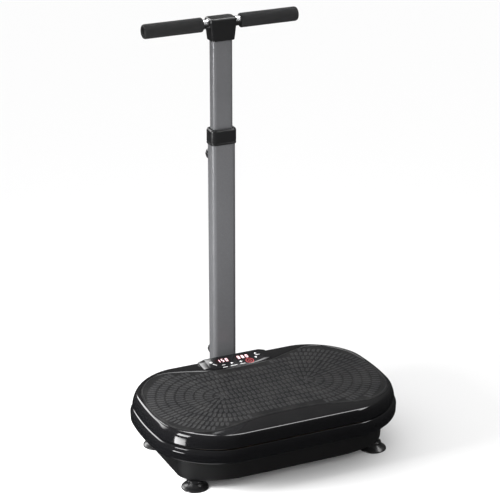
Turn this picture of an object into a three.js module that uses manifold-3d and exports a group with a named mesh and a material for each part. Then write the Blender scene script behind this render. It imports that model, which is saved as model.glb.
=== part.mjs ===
// Oscillating vibration plate: a rocking deck on a motor base, with a telescopic mast and handlebar.
// Millimetres, +Z up, +X to the user's right, +Y towards the mast. The origin is on the floor,
// under the middle of the overall box.
import * as THREE from "three";
import { mergeVertices } from "three/addons/utils/BufferGeometryUtils.js";
import Module from "manifold-3d";

const wasm = await Module();
wasm.setup();

// ---- clearances -------------------------------------------------------------------------------
const SEAT_GAP = 0.3; // between two pieces that rest on or in each other
const RUN_GAP = 0.5; // all round a piece that turns or slides in another
const ROUND = 18; // sides of a round piece, unless it says otherwise

// ---- deck -------------------------------------------------------------------------------------
const DECK_HALF_LENGTH = 329; // rim of the top face
const DECK_HALF_WIDTH = 216.5;
const DECK_FRONT_CORNER = [150, 150];
const DECK_REAR_CORNER = [132, 132];
const DECK_END_BOW = 0.1; // share of its length that the deck loses from its middle to its long sides
const DECK_TOP_THICKNESS = 6.4;
const SHELL_WALL = 3;
const UPPER_SHELL_HEIGHT = 34.6;
const LOWER_SHELL_DROP = 75; // deck top to the lower shell's lower edge
const SHELL_GROOVE = 2.9; // height of the open groove between the two shells
const LOWER_SHELL_FLARE_X = 17; // how far the lower shell stands out past the rim
const LOWER_SHELL_FLARE_Y = 8.5;
const MAT_RECESS = 2.8;
const MAT_THICKNESS = 2.7;
const MAT_MARGIN = 4.5; // shell left round the ends of the mat
const BOARD_THICKNESS = 6;
const BOARD_INSET = 24;
const FRAME_HEIGHT = 18;
const FRAME_WALL = 2.5;

// ---- drive ------------------------------------------------------------------------------------
const ROCK_ANGLE = THREE.MathUtils.degToRad(1.2); // each way
const CRANK_X = 150;
const CRANK_THROW = CRANK_X * Math.sin(ROCK_ANGLE);
const SHAFT_RADIUS = 8.5;
const CRANK_PIN_RADIUS = 6;
const ROD_LENGTH = 40;
const ROD_THICKNESS = 12;
const ROD_BIG_EYE = 20;
const ROD_SMALL_EYE = 9.5;
const ROD_PIN_RADIUS = 5;
const BEARING_RADIUS = 17.5;
const BLOCK_WIDTH = 20;
const CRANK_PULLEY_RADIUS = 40;
const MOTOR_PULLEY_RADIUS = 16;
const PULLEY_FLANGE = 3;
const BELT_WIDTH = 10;
const BELT_THICKNESS = 3;
const BELT_Y = -20;
const MOTOR_X = -95;
const MOTOR_RADIUS = 42;
const MOTOR_SHAFT_RADIUS = 5;
const PIVOT_RISE = 53.7; // rail top to pivot axis
const PIVOT_PIN_RADIUS = 8;
const PIVOT_BUSH_RADIUS = 11;
const POST_THICKNESS = 14;

// ---- base -------------------------------------------------------------------------------------
const FOOT_HEIGHT = 23.7;
const FOOT_RADIUS = 35.5;
const FOOT_NECK_RADIUS = 19;
const STUD_RADIUS = 4;
const PAN_INSET_X = 38; // deck rim to pan wall
const PAN_INSET_Y = 39.5;
const PAN_CORNER = [158, 84];
const PAN_WALL = 4;
const PAN_DRAFT = 3;
const PAN_TOP_GAP = 7; // pan edge to the lower shell's lower edge
const RAIL_INSET_X = 33; // pan wall to frame
const RAIL_INSET_Y = 42;
const RAIL_WIDTH = 30;
const RAIL_HEIGHT = 30;
const RAIL_WALL = 3;
const RAIL_CORNER = 34;
const FOOT_INSET_X = 34.5; // pan wall to foot axis
const FOOT_INSET_Y = 48;

// ---- mast -------------------------------------------------------------------------------------
const MAST_SETBACK = 53.5; // deck rim to mast axis
const LOWER_TUBE = { width: 68, depth: 42, corner: 12, length: 770.4 };
const TUBE_WALL = 2;
const SLEEVE_X = 3.5; // gap between the two tubes, filled by the guide sleeve
const SLEEVE_Y = 3;
const UPPER_TUBE_LENGTH = 428;
const TUBE_OVERLAP = 156.7; // length of upper tube inside the lower one
const SOCKET_WALL = 3;
const SOCKET_HEIGHT = 132;
const SOCKET_PLAY = 1; // all round the tube
const SOCKET_EAR = { halfX: 24, rise: 28 }; // rear wall that stands above the rest and holds the knob
const COLLAR_HEIGHT = 41;
const COLLAR_WALL_X = 3;
const COLLAR_WALL_Y = 2.5;
const HEAD_HEIGHT = 60;
const HEAD_SEAT = 28.5; // depth of upper tube inside the head
const HEAD_CORNER = 10;
const HEAD_BOTTOM_GROW = [4, 5]; // past the upper tube's faces
const HEAD_TOP_GROW = [9.5, 7];
const BAR_RADIUS = 12.7;
const BAR_RISE = 15.5; // top of the upper tube to the handlebar axis
const BAR_HALF_LENGTH = 213;
const GRIP_RADIUS = 19;
const GRIP_START = 53;
const GRIP_END = 216;
const KNOB_REACH = 52; // lower tube's rear face to the tip of either knob
const HEIGHT_KNOB_DROP = 86.7; // top of the lower tube to the height knob
const HEIGHT_KNOB_RADIUS = 18;
const MAST_KNOB_RADIUS = 16;
const MAST_KNOB_DROP = 15; // socket's top to the mast knob
const SCREW_RADIUS = 4;
const BOSS_LENGTH = 8;

// ---- heights and places that follow -----------------------------------------------------------
const PAN_BOTTOM = FOOT_HEIGHT + SEAT_GAP;
const PAN_FLOOR = PAN_BOTTOM + PAN_WALL;
const RAIL_BOTTOM = PAN_FLOOR + SEAT_GAP;
const RAIL_TOP = RAIL_BOTTOM + RAIL_HEIGHT;
const PLATE_TOP = RAIL_BOTTOM + RAIL_WALL;
const CRANK_Z = RAIL_TOP + ROD_BIG_EYE + 9.7;
const ROD_PIN_Z = CRANK_Z + ROD_LENGTH;
const PIVOT_Z = RAIL_TOP + PIVOT_RISE;
const FRAME_BOTTOM = ROD_PIN_Z + ROD_SMALL_EYE + 2.5;
const FRAME_TOP = FRAME_BOTTOM + FRAME_HEIGHT;
const BOARD_BOTTOM = FRAME_TOP + SEAT_GAP;
const CEILING = BOARD_BOTTOM + BOARD_THICKNESS + SEAT_GAP;
const DECK_TOP = CEILING + DECK_TOP_THICKNESS;
const UPPER_SHELL_BOTTOM = DECK_TOP - UPPER_SHELL_HEIGHT;
const LOWER_SHELL_TOP = UPPER_SHELL_BOTTOM - SHELL_GROOVE;
const LOWER_SHELL_BOTTOM = DECK_TOP - LOWER_SHELL_DROP;
const PAN_TOP = LOWER_SHELL_BOTTOM - PAN_TOP_GAP;
const PAN_HALF_LENGTH = DECK_HALF_LENGTH - PAN_INSET_X;
const PAN_HALF_WIDTH = DECK_HALF_WIDTH - PAN_INSET_Y;
const RAIL_HALF_X = PAN_HALF_LENGTH - RAIL_INSET_X;
const RAIL_HALF_Y = PAN_HALF_WIDTH - RAIL_INSET_Y;
const RAIL_Y = RAIL_HALF_Y - RAIL_WIDTH / 2;
const MOTOR_LENGTH = RAIL_HALF_Y - 35; // as deep as the chassis has room for
const FOOT_X = PAN_HALF_LENGTH - FOOT_INSET_X;
const FOOT_Y = PAN_HALF_WIDTH - FOOT_INSET_Y;
const BLOCK_Y = RAIL_Y - 32;
const MAST_Y = DECK_HALF_WIDTH + MAST_SETBACK;
const MAST_REAR = MAST_Y + LOWER_TUBE.depth / 2;
const KNOB_TIP = MAST_REAR + KNOB_REACH;
const UPPER_TUBE = {
  width: LOWER_TUBE.width - 2 * (TUBE_WALL + SLEEVE_X),
  depth: LOWER_TUBE.depth - 2 * (TUBE_WALL + SLEEVE_Y),
  corner: LOWER_TUBE.corner - 2,
};
const SOCKET_BOTTOM = PLATE_TOP;
const SOCKET_TOP = SOCKET_BOTTOM + SOCKET_HEIGHT;
const LOWER_TUBE_BOTTOM = SOCKET_BOTTOM + SOCKET_WALL + SEAT_GAP;
const LOWER_TUBE_TOP = LOWER_TUBE_BOTTOM + LOWER_TUBE.length;
const UPPER_TUBE_BOTTOM = LOWER_TUBE_TOP - TUBE_OVERLAP;
const UPPER_TUBE_TOP = UPPER_TUBE_BOTTOM + UPPER_TUBE_LENGTH;
const BAR_Z = UPPER_TUBE_TOP + BAR_RISE;
const HEAD_BOTTOM = UPPER_TUBE_TOP - HEAD_SEAT;
const headHalf = ([growX, growY]) => ({
  x: UPPER_TUBE.width / 2 + growX,
  y: UPPER_TUBE.depth / 2 + growY,
});
const HEAD_BOTTOM_HALF = headHalf(HEAD_BOTTOM_GROW);
const HEAD_TOP_HALF = headHalf(HEAD_TOP_GROW);
const HEIGHT_KNOB_Z = LOWER_TUBE_TOP - HEIGHT_KNOB_DROP;
const MAST_KNOB_Z = SOCKET_TOP - MAST_KNOB_DROP;
const LOWER_SHELL_HALF_WIDTH = DECK_HALF_WIDTH + LOWER_SHELL_FLARE_Y;
const DEPTH_CENTRE = (KNOB_TIP - LOWER_SHELL_HALF_WIDTH) / 2;

// ---- finishes ---------------------------------------------------------------------------------
const finish = (color, roughness, metalness) =>
  new THREE.MeshStandardMaterial({ color, roughness, metalness });
const glossBlack = finish(0x0c0c0e, 0.12, 0);
const satinBlack = finish(0x1b1b1d, 0.5, 0);
const greyTube = finish(0x6c6c6e, 0.4, 0.85);
const foam = finish(0x303031, 0.95, 0);
const rubber = finish(0x26262a, 0.85, 0);
const matRubber = finish(0x4b4b4e, 0.75, 0);
const steel = finish(0x8c8e92, 0.35, 0.9);
const blackSteel = finish(0x202123, 0.45, 0.6);
const aluminium = finish(0xb4b6ba, 0.35, 0.9);
const bronze = finish(0xa5803e, 0.4, 0.8);
const board = finish(0x1f5b38, 0.5, 0);
const plywood = finish(0xa98556, 0.7, 0);
const displayGlass = finish(0x2a0a0c, 0.1, 0);

// ---- solid helpers ----------------------------------------------------------------------------
function solid(geometry) {
  const bare = geometry.index ? geometry.toNonIndexed() : geometry.clone();
  const positions = new THREE.BufferGeometry();
  positions.setAttribute("position", bare.getAttribute("position"));
  const merged = mergeVertices(positions, 1e-3);
  const mesh = new wasm.Mesh({
    numProp: 3,
    vertProperties: new Float32Array(merged.attributes.position.array),
    triVerts: new Uint32Array(merged.index.array),
  });
  return new wasm.Manifold(mesh);
}

function geometryOf(manifold) {
  const mesh = manifold.getMesh();
  const geometry = new THREE.BufferGeometry();
  geometry.setAttribute("position", new THREE.BufferAttribute(mesh.vertProperties, 3));
  geometry.setIndex(new THREE.BufferAttribute(mesh.triVerts, 1));
  geometry.computeVertexNormals();
  return geometry;
}

// Joins the first list of geometries and cuts the second list away.
function shaped(joined, cut = []) {
  const whole = joined.map(solid).reduce((a, b) => a.add(b));
  return geometryOf(cut.map(solid).reduce((a, b) => a.subtract(b), whole));
}

const box = (x0, x1, y0, y1, z0, z1) =>
  new THREE.BoxGeometry(x1 - x0, y1 - y0, z1 - z0).translate(
    (x0 + x1) / 2,
    (y0 + y1) / 2,
    (z0 + z1) / 2,
  );

// A round bar between two stations along one axis; at holds the other two coordinates in order.
function bar(axis, radius, from, to, at, sides = ROUND) {
  const geometry = new THREE.CylinderGeometry(radius, radius, to - from, sides);
  const middle = (from + to) / 2;
  if (axis === "x") return geometry.rotateZ(Math.PI / 2).translate(middle, at[0], at[1]);
  if (axis === "y") return geometry.translate(at[0], middle, at[1]);
  return geometry.rotateX(Math.PI / 2).translate(at[0], at[1], middle);
}

// Turns a profile of [radius, station] pairs about the station axis; stations grow along the axis.
function turned(profile, axis, at, sides = ROUND) {
  const points = profile.map(([r, s]) => new THREE.Vector2(r, s));
  const geometry = new THREE.LatheGeometry(points, sides);
  if (axis === "y") return geometry.translate(at[0], 0, at[1]);
  if (axis === "x") return geometry.rotateZ(-Math.PI / 2).translate(0, at[0], at[1]);
  return geometry.rotateX(Math.PI / 2).translate(at[0], at[1], 0);
}

// A closed ring of [radius, station] pairs turned round the axis, for a piece with a bore.
const turnedRing = (profile, axis, at, sides = ROUND) =>
  turned([...profile, profile[0]], axis, at, sides);

// Radius of a polygon's corners so that its flats clear a bar of the given radius.
const boreFor = (radius, gap, sides = ROUND) => (radius + gap) / Math.cos(Math.PI / sides);

// Points of a rectangle with quarter-ellipse corners, counterclockwise; a corner is [x, y] radii.
function roundedOutline(halfX, halfY, front, rear = front, steps = 7) {
  const points = [];
  for (let corner = 0; corner < 4; corner += 1) {
    const sideX = corner === 0 || corner === 3 ? 1 : -1;
    const sideY = corner < 2 ? 1 : -1;
    const [cornerX, cornerY] = corner < 2 ? rear : front;
    for (let step = 0; step <= steps; step += 1) {
      const angle = ((corner + step / steps) * Math.PI) / 2;
      points.push(
        new THREE.Vector2(
          sideX * (halfX - cornerX) + cornerX * Math.cos(angle),
          sideY * (halfY - cornerY) + cornerY * Math.sin(angle),
        ),
      );
    }
  }
  return points;
}

// Joins rings of equal count in order. Capped at both ends, or closed on itself.
function loft(rings, closed = false) {
  const count = rings[0].length;
  const positions = rings.flat().flatMap((p) => [p.x, p.y, p.z]);
  const index = [];
  const spans = closed ? rings.length : rings.length - 1;
  for (let row = 0; row < spans; row += 1) {
    const next = (row + 1) % rings.length;
    for (let i = 0; i < count; i += 1) {
      const j = (i + 1) % count;
      const [a, b, c, d] = [row * count + i, row * count + j, next * count + j, next * count + i];
      index.push(a, b, c, a, c, d);
    }
  }
  if (!closed) {
    const last = (rings.length - 1) * count;
    const lids = (ring) =>
      THREE.ShapeUtils.triangulateShape(
        ring.map((p) => new THREE.Vector2(p.x, p.y)),
        [],
      );
    for (const [a, b, c] of lids(rings[0])) index.push(c, b, a);
    for (const [a, b, c] of lids(rings[rings.length - 1])) index.push(last + a, last + b, last + c);
  }
  const geometry = new THREE.BufferGeometry();
  geometry.setAttribute("position", new THREE.Float32BufferAttribute(positions, 3));
  geometry.setIndex(index);
  geometry.computeVertexNormals();
  return geometry;
}

// A ring of the deck's outline, offset outwards by growX and growY, at height z. Its ends are bowed.
function deckRing(growX, growY, z) {
  const flat = roundedOutline(
    DECK_HALF_LENGTH + growX,
    DECK_HALF_WIDTH + growY,
    DECK_FRONT_CORNER,
    DECK_REAR_CORNER,
  );
  const half = flat.length / 2;
  const along = (from, to) => [0.25, 0.5, 0.75].map((share) => from.clone().lerp(to, share));
  const points = [
    ...flat.slice(0, half),
    ...along(flat[half - 1], flat[half]),
    ...flat.slice(half),
    ...along(flat[2 * half - 1], flat[0]),
  ];
  return points.map((p) => {
    const bow = 1 - DECK_END_BOW * (p.y / DECK_HALF_WIDTH) ** 2;
    return new THREE.Vector3(p.x * bow, p.y, z);
  });
}

// A ring of the pan's outline; its walls lean outwards by the draft from bottom to top.
function panRing(grow, z) {
  const lean = (PAN_DRAFT * (z - PAN_BOTTOM)) / (PAN_TOP - PAN_BOTTOM);
  const corner = PAN_CORNER.map((radius) => radius + grow);
  return roundedOutline(
    PAN_HALF_LENGTH + grow + lean,
    PAN_HALF_WIDTH + grow + lean,
    corner,
    corner,
    6,
  ).map((p) => new THREE.Vector3(p.x, p.y, z));
}

// A rectangular tube section stood on end: a solid bar with rounded corners.
function tubeBar(width, depth, radius, z0, z1, steps = 4) {
  const corner = [radius, radius];
  const ring = (z) =>
    roundedOutline(width / 2, depth / 2, corner, corner, steps).map(
      (p) => new THREE.Vector3(p.x, p.y + MAST_Y, z),
    );
  return loft([ring(z0), ring(z1)]);
}

// The same, as a hollow tube open at both ends.
function tubeWall(section, wall, z0, z1) {
  return shaped(
    [tubeBar(section.width, section.depth, section.corner, z0, z1)],
    [
      tubeBar(
        section.width - 2 * wall,
        section.depth - 2 * wall,
        section.corner - wall,
        z0 - 1,
        z1 + 1,
      ),
    ],
  );
}

// A plate with an outline in X and Z, as thick as y0 to y1.
function plateXZ(points, y0, y1, holes = []) {
  const shape = new THREE.Shape(points.map(([x, z]) => new THREE.Vector2(x, z)));
  for (const [x, z, radius] of holes) {
    shape.holes.push(new THREE.Path().absarc(x, z, radius, 0, 2 * Math.PI, true));
  }
  const geometry = new THREE.ExtrudeGeometry(shape, {
    depth: y1 - y0,
    bevelEnabled: false,
    curveSegments: ROUND / 2,
  });
  return geometry.rotateX(Math.PI / 2).translate(0, y1, 0);
}

// ---- assembly ---------------------------------------------------------------------------------
const machine = new THREE.Group();
machine.position.y = -DEPTH_CENTRE;
const ends = [
  ["left", -1],
  ["right", 1],
];
const sides = [
  ["front", -1],
  ["rear", 1],
];

function add(name, geometry, material) {
  const mesh = new THREE.Mesh(geometry, material);
  mesh.name = name;
  machine.add(mesh);
}

// Orders a pair of stations for either side of the middle plane.
const span = (side, near, far) => (side > 0 ? [near, far] : [-far, -near]);

// ---- base -------------------------------------------------------------------------------------
function makeFeet() {
  for (const [end, ex] of ends) {
    for (const [side, sy] of sides) {
      const profile = [
        [0, 4],
        [26, 1.6],
        [29.5, 0],
        [FOOT_RADIUS, 0],
        [FOOT_RADIUS, 2.5],
        [30.5, 6.5],
        [24, 11],
        [FOOT_NECK_RADIUS + 1, 17],
        [FOOT_NECK_RADIUS, FOOT_HEIGHT],
        [STUD_RADIUS, FOOT_HEIGHT],
        [STUD_RADIUS, RAIL_TOP - RAIL_WALL - 6],
        [0, RAIL_TOP - RAIL_WALL - 6],
      ];
      add(`foot_${side}_${end}`, turned(profile, "z", [ex * FOOT_X, sy * FOOT_Y]), rubber);
    }
  }
}

const INLET_Y = -3;
const INLET_Z = RAIL_TOP + 1.7;
const INLET_BODY = { y: 23, z: 13.5, depth: 24 }; // half width, half height, depth inside the wall
const INLET_FLANGE = { y: 27, z: 17, thickness: 2.6 };
const SOCKET_MOUTH = { y: -9.5, halfY: 11.5, halfZ: 8, depth: 17 };
const ROCKER = { y: 14.5, halfY: 6, reach: 9.2, swing: THREE.MathUtils.degToRad(8) };

const BOLT_X = 54;
const TONGUE = { halfX: 70, forkX: 38, thickness: 6 };

function makeBasePan() {
  const outer = [panRing(0, PAN_BOTTOM), panRing(0, PAN_TOP)];
  const inner = [panRing(-PAN_WALL, PAN_TOP), panRing(-PAN_WALL, PAN_FLOOR)];
  const cuts = [];
  for (const [, ex] of ends) {
    for (const [, sy] of sides) {
      const at = [ex * FOOT_X, sy * FOOT_Y];
      cuts.push(bar("z", boreFor(STUD_RADIUS, RUN_GAP, 12), 0, PAN_FLOOR + 1, at, 12));
    }
  }
  const wall = PAN_HALF_LENGTH;
  const gap = SEAT_GAP;
  cuts.push(
    box(
      -wall - 20,
      -wall + 20,
      INLET_Y - INLET_BODY.y - gap,
      INLET_Y + INLET_BODY.y + gap,
      INLET_Z - INLET_BODY.z - gap,
      INLET_Z + INLET_BODY.z + gap,
    ),
    box(
      -TONGUE.halfX - 2,
      TONGUE.halfX + 2,
      PAN_HALF_WIDTH - 15,
      PAN_HALF_WIDTH + 15,
      RAIL_TOP - 2,
      RAIL_TOP + TONGUE.thickness + 3,
    ),
  );
  add("base_pan", shaped([loft([...outer, ...inner])], cuts), satinBlack);
}

function makeChassis() {
  const ring = (inset, z) => {
    const corner = [RAIL_CORNER - inset, RAIL_CORNER - inset];
    return roundedOutline(RAIL_HALF_X - inset, RAIL_HALF_Y - inset, corner, corner, 3).map(
      (p) => new THREE.Vector3(p.x, p.y, z),
    );
  };
  const channel = loft(
    [
      ring(0, RAIL_BOTTOM),
      ring(0, RAIL_TOP),
      ring(RAIL_WIDTH, RAIL_TOP),
      ring(RAIL_WIDTH, RAIL_TOP - RAIL_WALL),
      ring(RAIL_WALL, RAIL_TOP - RAIL_WALL),
      ring(RAIL_WALL, PLATE_TOP),
      ring(RAIL_WIDTH, PLATE_TOP),
      ring(RAIL_WIDTH, RAIL_BOTTOM),
    ],
    true,
  );
  const reach = RAIL_HALF_Y - RAIL_WIDTH + 5;
  const plate = (x0, x1) => box(x0, x1, -reach, reach, RAIL_BOTTOM, PLATE_TOP);
  const lugs = [];
  const holes = [];
  for (const [, ex] of ends) {
    for (const [, sy] of sides) {
      const [x0, x1] = span(ex, FOOT_X - 24, FOOT_X);
      const [y0, y1] = span(sy, FOOT_Y - 24, FOOT_Y);
      const at = [ex * FOOT_X, sy * FOOT_Y];
      const lugTop = RAIL_BOTTOM + 2 * RAIL_WALL;
      lugs.push(box(x0, x1, y0, y1, RAIL_BOTTOM, lugTop), bar("z", STUD_RADIUS + 2, RAIL_BOTTOM, lugTop, at, 12));
      holes.push(bar("z", boreFor(STUD_RADIUS, RUN_GAP, 12), RAIL_BOTTOM - 5, RAIL_TOP - 5, at, 12));
    }
  }
  for (const [, ex] of ends) {
    const at = [ex * BOLT_X, RAIL_Y];
    holes.push(bar("z", boreFor(SCREW_RADIUS, RUN_GAP, 12), RAIL_TOP - 8, RAIL_TOP + 5, at, 12));
  }
  add(
    "chassis_frame",
    shaped(
      [channel, plate(MOTOR_X - 48, MOTOR_X + 48), plate(CRANK_X - 35, CRANK_X + 35), ...lugs],
      holes,
    ),
    blackSteel,
  );
}

const BUFFER_X = 62; // frame end to buffer axis

function makeBuffers() {
  const travel = (RAIL_HALF_X - BUFFER_X + 16) * Math.sin(ROCK_ANGLE);
  const top = FRAME_BOTTOM - travel - 1.2;
  for (const [end, ex] of ends) {
    for (const [side, sy] of sides) {
      const profile = [
        [0, RAIL_TOP + SEAT_GAP],
        [15, RAIL_TOP + SEAT_GAP],
        [15, RAIL_TOP + 12],
        [12, RAIL_TOP + 22],
        [12, top - 12],
        [14, top - 3],
        [11, top],
        [0, top],
      ];
      const at = [ex * (RAIL_HALF_X - BUFFER_X), sy * RAIL_Y];
      add(`buffer_${side}_${end}`, turned(profile, "z", at, 12), rubber);
    }
  }
}

function makePivots() {
  const foot = RAIL_TOP + SEAT_GAP;
  const crown = PIVOT_BUSH_RADIUS + 7;
  const arc = [];
  for (let step = 0; step <= 8; step += 1) {
    const angle = (step / 8) * Math.PI;
    arc.push([crown * Math.cos(angle), PIVOT_Z + crown * Math.sin(angle)]);
  }
  const outline = [[-34, foot], [34, foot], [34, foot + 6], [crown + 3, foot + 10], ...arc];
  outline.push([-crown - 3, foot + 10], [-34, foot + 6]);
  const bore = boreFor(PIVOT_BUSH_RADIUS, SEAT_GAP);
  for (const [side, sy] of sides) {
    const half = POST_THICKNESS / 2;
    const [y0, y1] = span(sy, RAIL_Y - half, RAIL_Y + half);
    add(`pivot_post_${side}`, plateXZ(outline, y0, y1, [[0, PIVOT_Z, bore]]), steel);
    const inner = boreFor(PIVOT_PIN_RADIUS, SEAT_GAP);
    const bush = [
      [inner, y0],
      [PIVOT_BUSH_RADIUS, y0],
      [PIVOT_BUSH_RADIUS, y1],
      [inner, y1],
    ];
    add(`pivot_bush_${side}`, turnedRing(bush, "y", [0, PIVOT_Z]), bronze);
    const [p0, p1] = span(sy, RAIL_Y - half - 9, RAIL_Y + half + 9);
    const head = sy > 0 ? [p0 - 4, p0] : [p1, p1 + 4];
    add(
      `pivot_pin_${side}`,
      shaped([
        bar("y", PIVOT_PIN_RADIUS, p0, p1, [0, PIVOT_Z]),
        bar("y", PIVOT_PIN_RADIUS + 3, ...head, [0, PIVOT_Z]),
      ]),
      steel,
    );
  }
}

// ---- drive ------------------------------------------------------------------------------------
function makeCrankBlocks() {
  const foot = PLATE_TOP + SEAT_GAP;
  const crown = BEARING_RADIUS + 6;
  const arc = [];
  for (let step = 0; step <= 10; step += 1) {
    const angle = (step / 10) * Math.PI;
    arc.push([CRANK_X + crown * Math.cos(angle), CRANK_Z + crown * Math.sin(angle)]);
  }
  const outline = [[CRANK_X - 32, foot], [CRANK_X + 32, foot], [CRANK_X + 32, foot + 9], ...arc];
  outline.push([CRANK_X - 32, foot + 9]);
  const bore = boreFor(BEARING_RADIUS, SEAT_GAP);
  for (const [side, sy] of sides) {
    const [y0, y1] = span(sy, BLOCK_Y - BLOCK_WIDTH / 2, BLOCK_Y + BLOCK_WIDTH / 2);
    add(`crank_block_${side}`, plateXZ(outline, y0, y1, [[CRANK_X, CRANK_Z, bore]]), aluminium);
    const inner = boreFor(SHAFT_RADIUS, SEAT_GAP);
    const race = [
      [inner, y0 + 3],
      [BEARING_RADIUS, y0 + 3],
      [BEARING_RADIUS, y1 - 3],
      [inner, y1 - 3],
    ];
    add(`crank_bearing_${side}`, turnedRing(race, "y", [CRANK_X, CRANK_Z]), steel);
  }
}

function makeCrankshaft() {
  const web = BLOCK_Y + BLOCK_WIDTH / 2 + 2;
  const pieces = [bar("y", SHAFT_RADIUS, -web - 1, web + 1, [CRANK_X, CRANK_Z])];
  for (const [, sy] of sides) {
    const [w0, w1] = span(sy, web, RAIL_Y - ROD_THICKNESS / 2 - 3);
    const [p0, p1] = span(sy, web + 2, RAIL_Y + ROD_THICKNESS / 2 + 3);
    pieces.push(
      bar("y", 15, w0, w1, [CRANK_X, CRANK_Z]),
      bar("y", CRANK_PIN_RADIUS, p0, p1, [CRANK_X + CRANK_THROW, CRANK_Z]),
    );
  }
  add("crankshaft", shaped(pieces), steel);
}

// A flanged belt pulley with a bore that clears its shaft; a dish, if given, hollows its near face.
function pulley(rimRadius, shaftRadius, at, dish = []) {
  const half = BELT_WIDTH / 2 + 0.8;
  const flange = rimRadius + PULLEY_FLANGE;
  const bore = boreFor(shaftRadius, SEAT_GAP);
  const profile = [
    [bore, -half - 2],
    ...dish,
    [flange, -half - 2],
    [flange, -half],
    [rimRadius, -half],
    [rimRadius, half],
    [flange, half],
    [flange, half + 2],
    [bore, half + 2],
  ].map(([r, s]) => [r, s + BELT_Y]);
  return turnedRing(profile, "y", at);
}

function makePulleysAndBelt() {
  const crankAt = [CRANK_X, CRANK_Z];
  const motorAt = [MOTOR_X, CRANK_Z];
  const near = -BELT_WIDTH / 2 - 2.8;
  const rimInside = CRANK_PULLEY_RADIUS - 6;
  const dish = [
    [16, near],
    [16, near + 10],
    [rimInside, near + 10],
    [rimInside, near],
  ];
  add("crank_pulley", pulley(CRANK_PULLEY_RADIUS, SHAFT_RADIUS, crankAt, dish), aluminium);
  add("motor_pulley", pulley(MOTOR_PULLEY_RADIUS, MOTOR_SHAFT_RADIUS, motorAt), aluminium);
  // The belt's two edges are each a pair of arcs joined by the outer tangents of the pulleys.
  const edge = (grow) => {
    const big = CRANK_PULLEY_RADIUS + grow;
    const small = MOTOR_PULLEY_RADIUS + grow;
    const tangent = Math.PI - Math.acos((big - small) / (CRANK_X - MOTOR_X));
    const path = new THREE.Path();
    path.absarc(CRANK_X, CRANK_Z, big, -tangent, tangent, false);
    path.absarc(MOTOR_X, CRANK_Z, small, tangent, 2 * Math.PI - tangent, false);
    path.closePath();
    return path.getPoints(8);
  };
  const shape = new THREE.Shape(edge(2 * SEAT_GAP + BELT_THICKNESS));
  shape.holes.push(new THREE.Path(edge(2 * SEAT_GAP).reverse()));
  const belt = new THREE.ExtrudeGeometry(shape, { depth: BELT_WIDTH, bevelEnabled: false });
  belt.rotateX(Math.PI / 2).translate(0, BELT_Y + BELT_WIDTH / 2, 0);
  add("drive_belt", belt, rubber);
}

function makeRods() {
  const sideways = ROD_SMALL_EYE - 2;
  const bigBore = boreFor(CRANK_PIN_RADIUS, 2 * CRANK_THROW + RUN_GAP);
  for (const [side, sy] of sides) {
    const [y0, y1] = span(sy, RAIL_Y - ROD_THICKNESS / 2, RAIL_Y + ROD_THICKNESS / 2);
    const big = bar("y", ROD_BIG_EYE, y0, y1, [CRANK_X, CRANK_Z]);
    const small = bar("y", ROD_SMALL_EYE, y0, y1, [CRANK_X, ROD_PIN_Z]);
    const shank = box(CRANK_X - sideways, CRANK_X + sideways, y0 + 1, y1 - 1, CRANK_Z, ROD_PIN_Z);
    const holes = [
      bar("y", bigBore, y0 - 1, y1 + 1, [CRANK_X, CRANK_Z]),
      bar("y", boreFor(ROD_PIN_RADIUS, SEAT_GAP), y0 - 1, y1 + 1, [CRANK_X, ROD_PIN_Z]),
    ];
    add(`connecting_rod_${side}`, shaped([big, small, shank], holes), aluminium);
    const [p0, p1] = span(sy, RAIL_Y - 16, RAIL_Y + 16);
    add(`rod_pin_${side}`, bar("y", ROD_PIN_RADIUS, p0, p1, [CRANK_X, ROD_PIN_Z]), steel);
  }
}

const MOTOR_FRONT = BELT_Y + BELT_WIDTH / 2 + 7;

function makeMotor() {
  const at = [MOTOR_X, CRANK_Z];
  const front = MOTOR_FRONT;
  const back = front + MOTOR_LENGTH;
  const bore = boreFor(MOTOR_SHAFT_RADIUS, RUN_GAP);
  const shell = [
    [bore, front],
    [MOTOR_RADIUS - 3, front],
    [MOTOR_RADIUS, front + 3],
    [MOTOR_RADIUS, back - 3],
    [MOTOR_RADIUS - 3, back],
    [bore, back],
    [bore, back - 6],
    [30, back - 6],
    [30, front + 8],
    [bore, front + 8],
  ];
  add("motor_housing", turnedRing(shell, "y", at), blackSteel);
  const rotor = [
    [0, BELT_Y - BELT_WIDTH / 2 - 4],
    [MOTOR_SHAFT_RADIUS, BELT_Y - BELT_WIDTH / 2 - 4],
    [MOTOR_SHAFT_RADIUS, front + 18],
    [26, front + 18],
    [26, back - 16],
    [MOTOR_SHAFT_RADIUS, back - 16],
    [MOTOR_SHAFT_RADIUS, back + 3],
    [0, back + 3],
  ];
  add("motor_rotor", turned(rotor, "y", at), steel);
  const foot = PLATE_TOP + SEAT_GAP;
  const saddle = (y) => box(MOTOR_X - 48, MOTOR_X + 48, y, y + 5, foot, CRANK_Z - 6);
  add(
    "motor_bracket",
    shaped(
      [
        box(MOTOR_X - 48, MOTOR_X + 48, front + 4, back - 4, foot, foot + 4),
        saddle(front + 8),
        saddle(back - 13),
      ],
      [bar("y", boreFor(MOTOR_RADIUS, SEAT_GAP), front - 5, back + 5, at)],
    ),
    blackSteel,
  );
}

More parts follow.
